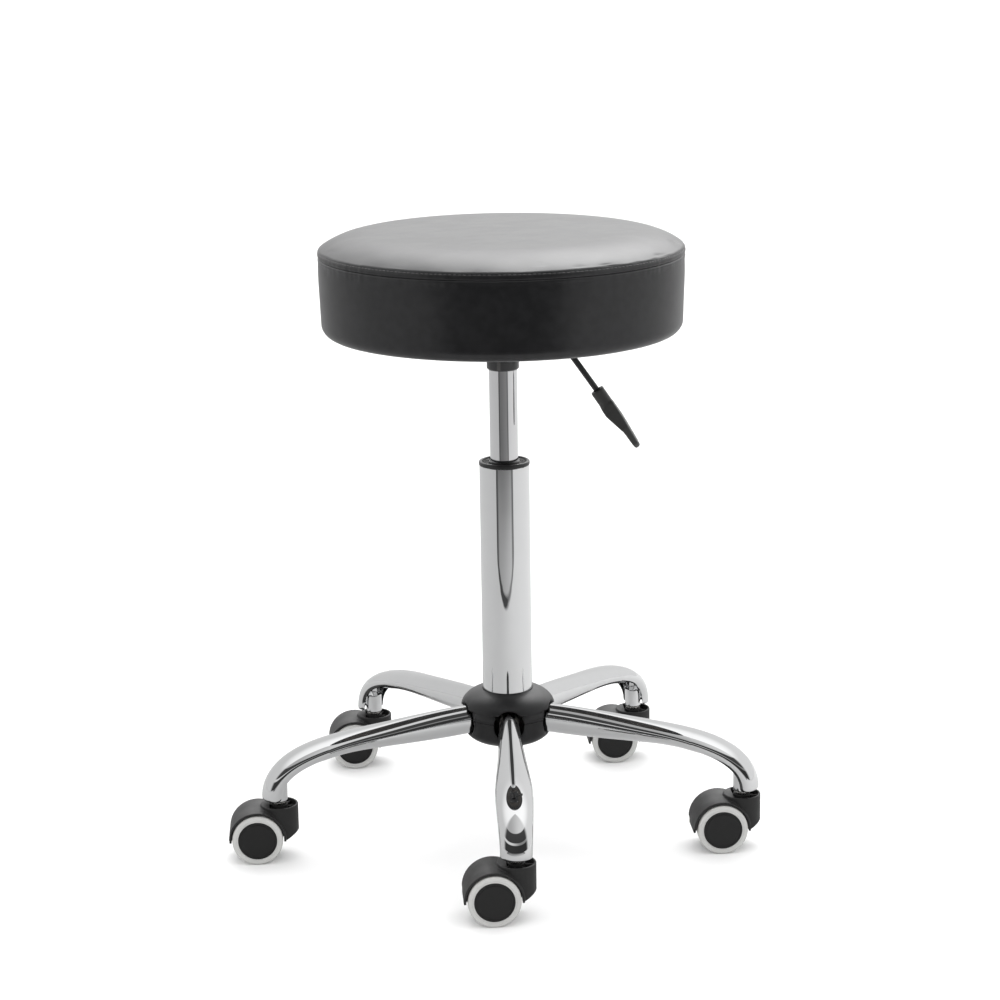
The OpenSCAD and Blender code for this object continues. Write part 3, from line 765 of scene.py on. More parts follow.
class Cover:
    """The cushion's skin: a grid of points along its side outline and round the seat."""

    def __init__(self):
        self.side = cushion_side(0)
        self.lengths = arc_lengths(self.side)
        heights = self.side[:, 1]
        on_side = (self.side[:, 0] > SEAT_R - SEAT_TAPER - 0.5) & (heights > SEAT_LOW + SEAT_FOOT - 1)
        order = np.argsort(heights[on_side])
        self.seam = np.interp(SEAT_TOP - SEAM_DOWN, heights[on_side][order], self.lengths[on_side][order])
        self.total = self.lengths[-1]
        self.angle = np.arange(AROUND) * TURN / AROUND
        self.padding = simulate_padding()

    def spots(self, along):
        """Points of the outline, at given lengths along it."""
        return np.stack([np.interp(along, self.lengths, self.side[:, k]) for k in (0, 1)], 1)

    def profile(self, along):
        """Points of the outline and its outward normals, at given lengths along it."""
        tangent = self.spots(along + 0.4) - self.spots(along - 0.4)
        tangent /= np.linalg.norm(tangent, axis=1)[:, None]
        return self.spots(along), np.stack([-tangent[:, 1], tangent[:, 0]], 1)

    def panel(self, name, along, lift):
        """Mesh of the rows at the given lengths. lift(length from the seam, angle) moves its points out."""
        spots, normals = self.profile(along)
        down, angle = np.meshgrid(along - self.seam, self.angle, indexing="ij")
        out = lift(down, angle)
        if self.padding:
            out = out + self.swelling(spots, normals, down)
        radius = spots[:, 0, None] + normals[:, 0, None] * out
        height = spots[:, 1, None] + normals[:, 1, None] * out
        radius = np.maximum(radius, 0)
        points = np.stack([radius * np.cos(angle), radius * np.sin(angle), height], -1).reshape(-1, 3)
        return new_mesh(name, points, grid_faces(len(along), AROUND, wrap=True), sharp=70)

    def swelling(self, spots, normals, down):
        """How far the simulated padding pushes the skin out. It dies away at the seam and at the hem."""
        few = 120
        fade = 14
        angle = np.arange(few) * TURN / few
        cos, sin = np.cos(angle)[None, :], np.sin(angle)[None, :]
        radius, height = spots[:, :1], np.repeat(spots[:, 1:], few, 1)
        points = np.stack([radius * cos, radius * sin, height], -1).reshape(-1, 3)
        moved = padding_at(points, *self.padding).reshape(len(spots), few, 3)
        sideways = moved[..., 0] * cos + moved[..., 1] * sin
        outward = sideways * normals[:, :1] + moved[..., 2] * normals[:, 1:]
        down = down[:, :1]
        level = np.median(outward[np.abs(down[:, 0]) < 6])
        limit = np.where(down < 0, PUFF_TOP, PUFF_SIDE)
        push = limit * np.tanh((outward - level) / limit)
        push *= 1 - bell(down, fade)
        push *= np.clip((self.total - HEM - down - self.seam) / fade, 0, 1)
        closed = np.append(angle, TURN)
        return np.stack([np.interp(self.angle, closed, np.append(row, row[0])) for row in push])


def seam_shape(down, angle):
    """The seam's groove, the roll of vinyl on either side of it, and the puckers that sewing draws up."""
    pucker = wobble(angle, 11, range(60, 170, 7), 0.16) + wobble(angle, 12, range(9, 40, 4), 0.16)
    strength = 0.7 + 0.3 * np.sin(3 * angle + 1) + wobble(angle, 13, range(4, 11), 0.2)
    away = np.abs(down)
    groove = -0.7 * bell(down, 0.7)
    roll = 0.22 * bell(away - 2.4, 1.5)
    return groove + roll + pucker * strength * bell(away - 3, 5)


def top_panel(cover):
    """Round top of the seat, over its upper edge and down to the seam, with a dip along the topstitching."""
    flat = np.linspace(0, cover.seam - 40, 42)
    edge = np.linspace(cover.seam - 38, cover.seam - 11, 28)
    sewn = np.linspace(cover.seam - 10.5, cover.seam, 27)

    def lift(down, angle):
        edge_wave = wobble(angle, 21, range(3, 30, 2), 0.22) * bell(down + 18, 12)
        stitch_dip = -0.28 * bell(down + STITCH_UP, 0.7)
        return seam_shape(down, angle) + edge_wave + stitch_dip

    return cover.panel("seat_top_panel", np.concatenate([flat, edge, sewn]), lift)


def side_band(cover):
    """Band round the seat, from the seam down and in under the board, where it is gathered and stapled."""
    sewn = np.linspace(cover.seam, cover.seam + 10, 24)
    side = np.linspace(cover.seam + 12, cover.total - HEM, 34)
    hem = np.linspace(cover.total - HEM + 1, cover.total, 22)

    def lift(down, angle):
        inwards = np.clip((down + cover.seam - cover.total + HEM) / HEM, 0, 1)
        pleats = np.abs(np.sin(26 * angle + wobble(angle, 31, range(3, 9), 0.8)))
        gather = -0.9 * inwards ** 0.7 * (1 - pleats ** 0.5)
        slack = wobble(angle, 32, range(3, 14), 0.14) * bell(down - 40, 26)
        return seam_shape(down, angle) + gather * 0.6 + slack

    return cover.panel("seat_side_band", np.concatenate([sewn, side, hem]), lift)


def topstitch(cover):
    """Row of stitches round the seat. Each one is a short strand whose ends dive into the vinyl."""
    spots, normals = cover.profile(np.array([cover.seam - STITCH_UP]))
    (radius, height), (out, up) = spots[0], normals[0]
    share = np.linspace(-1, 1, 7)
    length = TURN * radius / STITCHES * 0.78
    strands = []
    for i in range(STITCHES):
        angle = TURN * i / STITCHES + share * length / 2 / radius
        proud = -0.05 - 0.45 * share ** 4
        r = radius + proud * out
        path = np.stack([r * np.cos(angle), r * np.sin(angle), height + proud * up], 1)
        strands.append(sweep(path, 0.36, 0.36, (0, 0, 1), sides=8))
    return new_mesh("seat_topstitch", *merge(strands))


def hem_staples():
    """Wire staples that hold the folded cover to the underside of the board."""
    strands = []
    for i in range(STAPLES):
        angle = TURN * (i + 0.3 * math.sin(7 * i)) / STAPLES
        centre = np.array([math.cos(angle), math.sin(angle), 0]) * (SEAT_R - BOARD_IN - HEM * 0.55)
        lean = angle + 0.25 * math.sin(5 * i)
        along = np.array([-math.sin(lean), math.cos(lean), 0])
        across = np.array([math.cos(lean), math.sin(lean), 0])
        profile = [(-5, 0.9), (-5, 0.1), (-4.6, -0.35), (0, -0.4), (4.6, -0.35), (5, 0.1), (5, 0.9)]
        path = [centre + along * step + np.array([0, 0, SEAT_LOW + rise]) for step, rise in profile]
        strands.append(sweep(path, 0.55, 0.3, across, power=4, sides=8))
    return new_mesh("hem_staples", *merge(strands))


def foam_core():
    """Foam block under the cover, cut square below and rounded above."""
    inset = 3.5
    low = span("seat_board")[1][2]
    wall = SEAT_R - SEAT_TAPER - inset
    upper = [tuple(spot) for spot in cushion_side(inset) if spot[1] > SEAT_TOP - SEAM_DOWN]
    return lathe("foam_core", [(0, low), (wall, low)] + upper[::-1], 96)


def hex_bolts():
    """Four hexagon bolts with chamfered heads."""
    at = BOLT_OUT - BOLT_FLATS / 2 - 0.4
    long = 15.9

    def bolt(x, y, z):
        flats = [abs(x * math.cos(a) + y * math.sin(a)) for a in (0, TURN / 6, TURN / 3)]
        head = np.maximum.reduce(flats) - BOLT_FLATS / 2
        away = np.hypot(x, y)
        chamfer = away - 5.1 + 1.2 * np.maximum(0.9 - z, 0)
        ends = np.abs(z - BOLT_HEAD / 2) - BOLT_HEAD / 2
        head = smooth_max(smooth_max(head, chamfer, 0.3), ends, 0.4)
        stem = np.maximum(away - BOLT_R, np.abs(z - 8) - long + 8)
        return smooth_min(head, stem, 0.3)

    points, faces = solid(bolt, (-6, -6, -1), (6, 6, 17), 0.4)
    points[:, 2] *= (BOLT_TOP - BOLT_LOW) / long
    parts = [(points + (sx * at, sy * at, BOLT_LOW), faces) for sx in (-1, 1) for sy in (-1, 1)]
    return new_mesh("hex_bolts", *merge(parts), sharp=40)


def build_seat():
    cover = Cover()
    add_piece("seat_top_panel", top_panel(cover), "seat", "vinyl", ["seat_cover"], thick=COVER)
    add_piece("seat_side_band", side_band(cover), "seat", "vinyl", ["seat_cover"], thick=COVER)
    add_piece("seat_topstitch", topstitch(cover), "seat", "vinyl", look="thread")
    add_piece("hem_staples", hem_staples(), "seat", "bright_steel")
    add_piece("foam_core", foam_core(), "seat", "foam", ["seat_foam"])
    add_piece("hex_bolts", hex_bolts(), "seat", "bright_steel", ["plate_bolts"])


# ---- Column ----


def column_tube():
    """Chromed tube, a little narrower at its lower end, with a floor that the rod passes through."""
    bore, floor, taper = 8, TUBE_LOW + 3, TUBE_LOW + TUBE_TAPER
    inner = TUBE_R - TUBE_WALL
    outline = [
        (bore, TUBE_LOW), (TUBE_R - 1, TUBE_LOW), (TUBE_R, taper), (TUBE_R, TUBE_TOP),
        (inner, TUBE_TOP), (inner, taper), (inner - 1, floor), (bore, floor),
    ]
    return lathe("column_tube", rounded(outline, [0, 1.5, 30, 0.6, 0.4, 20, 0, 0]), 192)


def column_bush():
    """Collar on top of the tube, dished round the gas cylinder."""
    wall = TUBE_R - TUBE_WALL
    floor = RIM_TOP - DISH_DEPTH
    outline = [
        (LIFT_R + 0.1, RIM_LOW), (wall, RIM_LOW), (wall, TUBE_TOP + 0.05), (RIM_R, TUBE_TOP + 0.05),
        (RIM_R, RIM_TOP), (DISH_R, RIM_TOP), (DISH_R - 0.5, floor), (LIFT_R + WIPER_W, floor),
        (LIFT_R + WIPER_W, RIM_TOP - 0.3), (LIFT_R + 0.1, RIM_TOP),
    ]
    return lathe("column_bush", rounded(outline, [0.3, 0.5, 0.2, 0.5, 1.1, 0.5, 0.3, 0.2, 0.6, 0.1]), 160)


def bush_ring():
    """Bright steel ring that lies in the dish, with serrations across its top."""
    (_, _, low), (radius, _, high) = span("bush_ring")
    inner = LIFT_R + WIPER_W + 0.2
    outline = [(inner, low), (radius, low), (radius, high), (inner, high - 0.5)]
    ring = lathe("bush_ring", rounded(outline, [0.2, 0.2, 0.5, 0.4]), 12 * SERRATIONS)
    for corner in ring.vertices:
        share = (corner.co.z / MM - low) / (high - low)
        tooth = math.cos(SERRATIONS * math.atan2(corner.co.y, corner.co.x))
        corner.co.z -= SERRATION_DEPTH * MM * max(share, 0) * (0.5 - 0.5 * tooth)
    return ring


def gas_cylinder():
    """Chromed cylinder: open below for the rod, its top tapered into the socket."""
    rod, button, inner, floor = 5.1, 3.1, LIFT_R - 1.3, LIFT_LOW + 10
    outline = [
        (rod, LIFT_LOW), (LIFT_R, LIFT_LOW), (LIFT_R, SOCKET_LOW), (LIFT_R - 0.4, LIFT_TOP),
        (button, LIFT_TOP), (button, LIFT_TOP - 26), (inner, LIFT_TOP - 34), (inner, floor), (rod, floor),
    ]
    return lathe("gas_cylinder", rounded(outline, [0.3, 1.5, 0, 0.8, 0.3, 0.3, 2, 1, 0.3]), 160)


def build_column():
    add_piece("column_tube_skin", column_tube(), "base", "chrome", ["column_tube"])
    add_piece("bush_collar", column_bush(), "base", "bush_plastic", ["column_bush"])
    add_piece("bush_ring_turned", bush_ring(), "base", "chrome", ["bush_ring"])
    add_piece("lift_cylinder", gas_cylinder(), "seat", "lift_chrome", ["gas_cylinder"])


# ---- Hub ----


def oval(middle_x, middle_y, half_x, half_y, start, end):
    """Points of a part of an oval, between two angles in degrees."""
    turn = np.radians(np.linspace(start, end, 18))
    return np.stack([middle_x + half_x * np.cos(turn), middle_y + half_y * np.sin(turn)], 1)


def hub_outline():
    """Outline of both hub covers together: a flat dome round the tube above, and a bowl below."""
    dome, bowl = oval(*DOME, 90, 5), oval(*BOWL, 0, -90)
    return np.concatenate([[(0, dome[0, 1])], dome, [WAIST], bowl, [(0, bowl[-1, 1])]])


def to_arm(x, y):
    """x and y turned into the frame of the nearest arm, where that arm runs along +X."""
    first = math.atan2(*joint_at("swivel_front")[1::-1])
    step = TURN / len(PLACES)
    angle = (np.arctan2(y, x) - first + step / 2) % step - step / 2
    radius = np.hypot(x, y)
    return radius * np.cos(angle), radius * np.sin(angle)


def hub_distance(x, y, z):
    """Both hub covers as one shell, with a flat pad and an arched opening for each arm."""
    radius = np.hypot(x, y)
    skin = outline_distance(radius, z, hub_outline())
    shell = np.maximum(skin, -skin - HUB_WALL)
    shell = smooth_max(shell, TUBE_R + 0.15 - radius, 0.8)
    out, across = to_arm(x, y)
    pad = np.maximum(HUB_FLAT - out, np.abs(z - PAD_Z) - PAD_HALF)
    shell = smooth_max(shell, -pad, 1.0)
    opening = np.hypot(across, np.maximum(np.abs(z - OPENING_Z) - OPENING_STRAIGHT, 0)) - OPENING_R
    return smooth_max(shell, -np.maximum(opening, OPENING_FROM - out), 1.2)


def hub_cover(name, side, low, high):
    """Mesh of the hub above its joint, where side is 1, or below it, where side is -1."""
    def distance(x, y, z):
        return smooth_max(hub_distance(x, y, z), HUB_GAP - side * (z - HUB_SEAM), 0.7)

    reach = HUB_R + 2
    return new_mesh(name, *solid(distance, (-reach, -reach, low - 2), (reach, reach, high + 2), 0.8))


def build_hub():
    cap = hub_cover("hub_cap", 1, HUB_SEAM, HUB_TOP)
    bowl = hub_cover("hub_bowl", -1, HUB_FOOT, HUB_SEAM)
    add_piece("hub_cap", cap, "base", "hub_plastic", ["hub_upper_cover"])
    add_piece("hub_bowl", bowl, "base", "hub_plastic", ["hub_lower_cover"])


# ---- Arms ----


def smoothstep(value, start, end):
    """0 before start and 1 after end, with a smooth rise between them."""
    share = np.clip((value - start) / (end - start), 0, 1)
    return share * share * (3 - 2 * share)


def arm_line():
    """Centre line of an arm, which runs out along +X, level at first and then bent down to the caster."""
    bend_z = ARM_ROOT_Z - ARM_FALL * (ARM_BEND - SLEEVE_R)
    straight = np.linspace(0, 1, 30, endpoint=False)[:, None]
    root, bend = np.array([SLEEVE_R, 0, ARM_ROOT_Z]), np.array([ARM_BEND, 0, bend_z])
    end = np.array([ARM_END_R, 0, ARM_TIP])
    first, second = bend + np.array([65, 0, -65 * ARM_FALL]), end + np.array([0, 0, 30])
    t = np.linspace(0, 1, 90)[:, None]
    curve = (1 - t) ** 3 * bend + 3 * (1 - t) ** 2 * t * first + 3 * (1 - t) * t ** 2 * second + t ** 3 * end
    return np.concatenate([root + straight * (bend - root), curve])


def arm_mesh():
    """Tapered oval tube, flattened towards the bend. Its underside is slotted open from there to the tip."""
    line = arm_line()
    length = arc_lengths(line)
    total = length[-1]
    along = np.gradient(line, axis=0)
    along[-1] = (0, 0, -1)
    along /= np.linalg.norm(along, axis=1)[:, None]
    up = np.stack([-along[:, 2], 0 * length, along[:, 0]], 1)
    root, widest, tip = ARM_HALF_WIDTHS
    width = np.where(
        length < ARM_WIDEST,
        root + (widest - root) * (length / ARM_WIDEST) ** 1.6,
        widest + (tip - widest) * smoothstep(length, ARM_WIDEST + 15, total),
    )
    high, flat = ARM_HALF_HEIGHTS
    height = high + (flat - high) * smoothstep(length, 30, ARM_WIDEST)
    open_share = np.clip((length - SLOT_FROM) / 16, 0, 1)
    slot = math.radians(SLOT_ANGLE) * np.sqrt(1 - (1 - open_share) ** 2)
    roll = 1.4 * (1 - np.sqrt(1 - np.clip((length - total + 3) / 3, 0, 1) ** 2))
    across = np.linspace(-1, 1, 73)
    angle = across[None, :] * (math.pi - slot)[:, None]

    def skin(inset):
        w, h = (width - roll - inset)[:, None], (height - roll - inset)[:, None]
        side = np.array([0, 1, 0]) * (w * np.sin(angle))[..., None]
        return line[:, None] + side + up[:, None] * (h * np.cos(angle))[..., None]

    rows, columns = len(line), len(across)
    points = np.concatenate([skin(0).reshape(-1, 3), skin(ARM_WALL).reshape(-1, 3)])
    inner = rows * columns
    faces = grid_faces(rows, columns)
    faces += [[inner + corner for corner in face[::-1]] for face in grid_faces(rows, columns)]
    for start in (0, inner - columns):
        for near in range(start, start + columns - 1):
            faces.append([near, near + 1, inner + near + 1, inner + near])
    for row in range(rows - 1):
        if length[row + 1] <= SLOT_FROM:
            continue
        for edge in (0, columns - 1):
            near, far = row * columns + edge, (row + 1) * columns + edge
            faces.append([near, far, inner + far, inner + near])
    return new_mesh("arm", points, faces)


def build_arms():
    mesh = arm_mesh()
    for place in PLACES:
        x, y, _ = joint_at("swivel_" + place)
        turn = Matrix.Rotation(math.atan2(y, x), 4, "Z")
        add_piece("arm_tube_" + place, mesh, "base", "chrome", ["arm_" + place], at=turn)


# ---- Casters: the stem is at the origin, and the wheels trail towards -X ----


def stem_frame(place):
    """Matrix from a caster's own frame to the whole stool's."""
    stem, axle = joint_at("swivel_" + place), joint_at("roll_a_" + place)
    turn = math.atan2(stem[1] - axle[1], stem[0] - axle[0])
    return Matrix.Translation((stem[0] * MM, stem[1] * MM, 0)) @ Matrix.Rotation(turn, 4, "Z")


def hood_distance(x, y, z):
    """Arched hood over both wheels, with a round collar in front that holds the stem in a ribbed recess."""
    away = np.abs(y)
    from_axle = np.hypot(x + TRAIL, z - WHEEL_R)
    from_arch = np.hypot(x + TRAIL, np.maximum(z - WHEEL_R, 0))
    from_stem = np.hypot(x, y)
    arch = smooth_max(from_arch - HOOD_R, away - HOOD_W, 1.6)
    collar = smooth_max(from_stem - COLLAR_R, z - COLLAR_TOP, 1.3)
    body = smooth_min(arch, collar, 1.0)
    well = np.maximum(from_arch - HOOD_R + HOOD_WALL, WEB - away)
    body = smooth_max(body, -well, 0.8)
    front = FRONT_LIP + 0.5 * np.maximum(x - 7, 0)
    rear = np.where(away > 15, SIDE_LIP, REAR_LIP)
    low = np.where(x > -TRAIL + 9, front, np.where(x < -TRAIL - 9, rear, HOOD_LOW))
    body = smooth_max(body, low - z, 0.9)
    ring = np.maximum(from_stem - RECESS_R, BOSS_R - from_stem)
    recess = np.maximum(np.maximum(ring, RECESS_FLOOR - z), -9.5 - x)
    rib_step = TURN / RECESS_RIBS
    rib_angle = (np.arctan2(y, x) + rib_step / 2) % rib_step - rib_step / 2
    rib = np.maximum(np.abs(rib_angle) * from_stem - 0.6, z - RECESS_FLOOR - 3.2)
    recess = np.maximum(recess, -rib)
    body = smooth_max(body, -recess, 0.7)
    body = smooth_max(body, -np.maximum(from_stem - STEM_R - 0.1, STEM_LOW - 1 - z), 0.4)
    return np.maximum(body, AXLE_R + 0.01 - from_axle)


def wheel_cap():
    """Dark core of a wheel: a slightly domed outer face with a fine step near its rim, hollow behind."""
    bore, hub, rim, back = AXLE_R + 0.05, AXLE_R + 2.5, CORE_R - 2.4, WHEEL_OUT - 2.4
    step, pocket = WHEEL_OUT - 0.5, WHEEL_OUT - 3.6
    outline = [
        (bore, WHEEL_IN - 0.6), (hub, WHEEL_IN - 0.6), (hub, back), (rim, back), (rim, WHEEL_IN + 1),
        (CORE_R, WHEEL_IN + 1), (CORE_R, WHEEL_OUT), (CORE_R - 1.4, WHEEL_OUT), (CORE_R - 1.7, step),
        (CORE_R - 2.3, step), (CORE_R - 3.2, WHEEL_OUT - 0.15), (0, WHEEL_OUT), (0, pocket), (bore, pocket),
    ]
    radii = [0.3, 0.4, 0.4, 0.4, 0.4, 0.3, 0.5, 0.3, 0.15, 0.15, 0.4, 0, 0, 0.3]
    return lathe("wheel_cap", rounded(outline, radii), 96)


def tyre_ring():
    """Soft tread with a rounded rolling face and a shallow groove round its side."""
    out = WHEEL_OUT - 0.2
    groove = out - 0.35
    outline = [
        (CORE_R, out - 0.1), (CORE_R, WHEEL_IN), (WHEEL_R, WHEEL_IN), (WHEEL_R, out),
        (CORE_R + 2.0, out), (CORE_R + 1.6, groove), (CORE_R + 1.0, groove), (CORE_R + 0.6, out),
    ]
    return lathe("tyre_ring", rounded(outline, [0.2, 0.6, 2.6, 2.6, 0.4, 0.2, 0.2, 0.4]), 128)


def stem_mesh():
    """Stem of a caster with its flange, and the grip ring's groove above."""
    flange, groove = COLLAR_TOP + 0.2, GRIP_R - 0.85
    outline = [
        (0, STEM_LOW), (STEM_R, STEM_LOW), (STEM_R, flange), (FLANGE_R, flange), (FLANGE_R, FLANGE_TOP),
        (GRIP_R, FLANGE_TOP), (GRIP_R, GRIP_LOW), (groove, GRIP_LOW), (groove, GRIP_TOP),
        (GRIP_R, GRIP_TOP), (GRIP_R, STEM_TOP - 1), (groove - 0.1, STEM_TOP), (0, STEM_TOP),
    ]
    return lathe("stem", rounded(outline, [0, 0.6, 0.2, 0.5, 0.5, 0.2, 0.2, 0.1, 0.1, 0.2, 0.4, 0.4, 0]), 64)


def socket_mesh():
    """Steel bush welded inside the tip of an arm, closed by a domed neck."""
    mouth, bore, wall, roof = FLANGE_TOP + 0.1, GRIP_R + 0.15, GRIP_R + 3.25, STEM_TOP + 0.5
    outline = [
        (bore, mouth), (wall, mouth), (wall, roof - 1), (NECK_R, NECK_LOW), (NECK_R, NECK_TOP),
        (0, NECK_TOP), (0, roof), (bore, roof),
    ]
    return lathe("socket", rounded(outline, [0.4, 0.8, 1.5, 2, 3, 0, 0, 0.3]), 64)


def copies(mesh, places):
    """One mesh that holds a copy of another at each matrix."""
    result = bmesh.new()
    for place in places:
        part = mesh.copy()
        part.transform(place)
        result.from_mesh(part)
        bpy.data.meshes.remove(part)
    joined = bpy.data.meshes.new(mesh.name + "_set")
    result.to_mesh(joined)
    result.free()
    joined.shade_smooth()
    return joined


def build_casters():
    low = (-TRAIL - HOOD_R - 2, -HOOD_W - 2, HOOD_LOW - 2)
    high = (COLLAR_R + 2, HOOD_W + 2, COLLAR_TOP + 2)
    hood = new_mesh("hood", *solid(hood_distance, low, high, 0.6))
    cap, ring = wheel_cap(), tyre_ring()
    for place in PLACES:
        at = stem_frame(place)
        add_piece("hood_shell_" + place, hood, "caster_" + place, "hood_plastic", ["hood_" + place], at=at)
        axle = at @ Matrix.Translation((-TRAIL * MM, 0, WHEEL_R * MM))
        for side, turn in (("a", TURN / 4), ("b", -TURN / 4)):
            end = axle @ Matrix.Rotation(turn, 4, "X")
            wheel = f"{side}_{place}"
            body = "roller_" + wheel
            add_piece("wheel_cap_" + wheel, cap, body, "wheel_plastic", ["wheel_" + wheel], at=end)
            add_piece("tread_" + wheel, ring, body, "tread", ["tyre_" + wheel], at=end)
    frames = [stem_frame(place) for place in PLACES]
    add_piece("stems_turned", copies(stem_mesh(), frames), "base", "bright_steel", ["caster_stems"])
    add_piece("sockets_turned", copies(socket_mesh(), frames), "base", "chrome", ["caster_sockets"])


# ---- Lever ----


def lever_direction():
    """Direction from the lever's bend down to its handle."""
    return np.array([math.cos(LEVER_SLOPE), 0, -math.sin(LEVER_SLOPE)])


def elbow():
    """Where the two straight parts of the lever would meet."""
    return joint_at("lever_lift") + (ELBOW_OUT, 0, 0)


def lever_rod():
    """Round rod, bent below the seat and pressed square at its inner end."""
    corner = elbow()
    reach = LEVER_BEND_R * math.tan(LEVER_SLOPE / 2)
    middle = corner + (-reach, 0, -LEVER_BEND_R)
    turn = np.linspace(0, LEVER_SLOPE, 12)
    bend = list(middle + LEVER_BEND_R * np.stack([np.sin(turn), 0 * turn, np.cos(turn)], 1))
    start = joint_at("lever_lift") - (26, 0, 0)
    inner = [start + (step, 0, 0) for step in (0, 0.6, 1.5, 3, 20, 30, 33, 36, 40)]
    end = corner + lever_direction() * (HANDLE_AT + BORE_DEPTH)
    path = np.array(inner + bend + [bend[-1] * (1 - t) + end * t for t in (0.1, 0.3, 0.6, 0.95, 1)])
    square = 1 - smoothstep(path[:, 0] - start[0], 29, 37)
    size = LEVER_R + square
    size[:3] *= (0.5, 0.8, 0.95)
    size[-1] *= 0.8
    return new_mesh("lever_rod", *sweep(path, size, size, (0, 1, 0), power=2 + 4 * square, sides=32))


def round_end(radius, middle, half_turn, count):
    """Points of the arc that ends the handle, half_turn degrees to either side of its tip."""
    turn = np.radians(np.linspace(-half_turn, half_turn, count))
    return [(HANDLE_LEN - radius + radius * math.cos(a), middle + radius * math.sin(a)) for a in turn]


def handle_distance(x, y, z):
    """Lever handle: a round socket that flares into a thin, wide blade. X runs from the mouth to the tip."""
    side = [(0, -7), (27, -7.8), (49, -2.6)] + round_end(3, 0.2, 70, 7) + [(36, 6), (0, 7)]
    plan = [(0, -7), (24, -8.5), (46, -13)] + round_end(13, 0, 60, 11) + [(46, 13), (24, 8.5), (0, 7)]
    body = smooth_max(outline_distance(x, z, side), outline_distance(x, y, plan), 2.4)
    barrel = np.hypot(y, z) - 7.6 - np.maximum(x - 16, 0) * 0.7
    body = smooth_max(body, barrel, 1.5)
    mouth = np.maximum(np.hypot(y, z) - LEVER_R - 1.2, x - 2.5)
    bore = np.maximum(np.hypot(y, z) - LEVER_R - 0.05, x - BORE_DEPTH - 0.2)
    return smooth_max(smooth_max(body, -mouth, 0.5), -bore, 0.3)


def build_lever():
    slope = lever_direction()
    mouth = elbow() + slope * HANDLE_AT
    normal = np.cross(slope, (0, 1, 0))
    turn = Matrix((slope, (0, 1, 0), normal)).transposed().to_4x4()
    at = Matrix.Translation(Vector(mouth * MM)) @ turn
    handle = new_mesh("handle", *solid(handle_distance, (-2, -15, -10), (HANDLE_LEN + 2, 15, 10), 0.5))
    add_piece("lever_bar", lever_rod(), "lever", "black_paint", ["lever_rod"])
    add_piece("lever_grip", handle, "lever", "handle_plastic", ["lever_handle"], at=at)


# ---- CAD nodes that stay ----

CAD_LOOKS = {
    "hub_sleeve": "dark_steel",
    "stem_grip_rings": "dark_steel",
    "thrust_bearing": "bright_steel",
    "piston_rod": "bright_steel",
    "bearing_upper_race": "bright_steel",
    "retaining_clip": "dark_steel",
    "bumper": "rubber",
    "seat_socket": "black_paint",
    "seat_plate": "black_paint",
    "lever_pivot_pin": "bright_steel",
    "seat_board": "plywood",
    "release_button": "bright_steel",
    "axle_": "bright_steel",
}


def finish_cad_nodes():
    """Gives each CAD node that stays its material, and eases its sharp edges."""
    for name, node in frame["nodes"].items():
        if node.hide_render:
            continue
        slot = next(CAD_LOOKS[key] for key in CAD_LOOKS if name.startswith(key))
        node.data.materials.clear()
        node.data.materials.append(LOOKS[slot])
        weld = node.modifiers.new("weld", "WELD")
        weld.merge_threshold = 0.001 * MM
        ease = node.modifiers.new("eased_edges", "BEVEL")
        ease.width = 0.25 * MM
        ease.segments = 3
        ease.limit_method = "ANGLE"
        ease.angle_limit = math.radians(50)
        ease.harden_normals = True


# ---- Studio ----


# The mirrored wall in front of the stool: slopes of the view up to it, and how bright it is there.
FRONT_WALL = ((-0.5, 0.04), (0.31, 0.04), (0.34, 0.75), (0.43, 0.75), (0.46, 0.05), (1.06, 0.06), (1.14, 1.0))
WALL_FOOT, WALL_TOP = -0.5, 1.5
BLACK = (0.03, 0.03, 0.03)
WHITE = (1.0, 1.0, 1.0)
LIGHT = (1.25, 1.25, 1.25)  # falls on the stool from all sides
PAPER = (0.92, 0.92, 0.92)


def wall_bands(graph, slope):
    """Colour of the wall in front of the stool, in level bands."""
    bands = graph.add("ShaderNodeValToRGB", {"Fac": graph.ramp(slope, WALL_FOOT, WALL_TOP, kind="LINEAR")})
    stops = bands.color_ramp.elements
    while len(stops) > 1:
        stops.remove(stops[-1])
    for number, (at, level) in enumerate(FRONT_WALL):
        place = (at - WALL_FOOT) / (WALL_TOP - WALL_FOOT)
        stop = stops.new(place) if number else stops[0]
        stop.position = place
        stop.color = (level, level, level, 1)
    return bands.outputs["Color"]


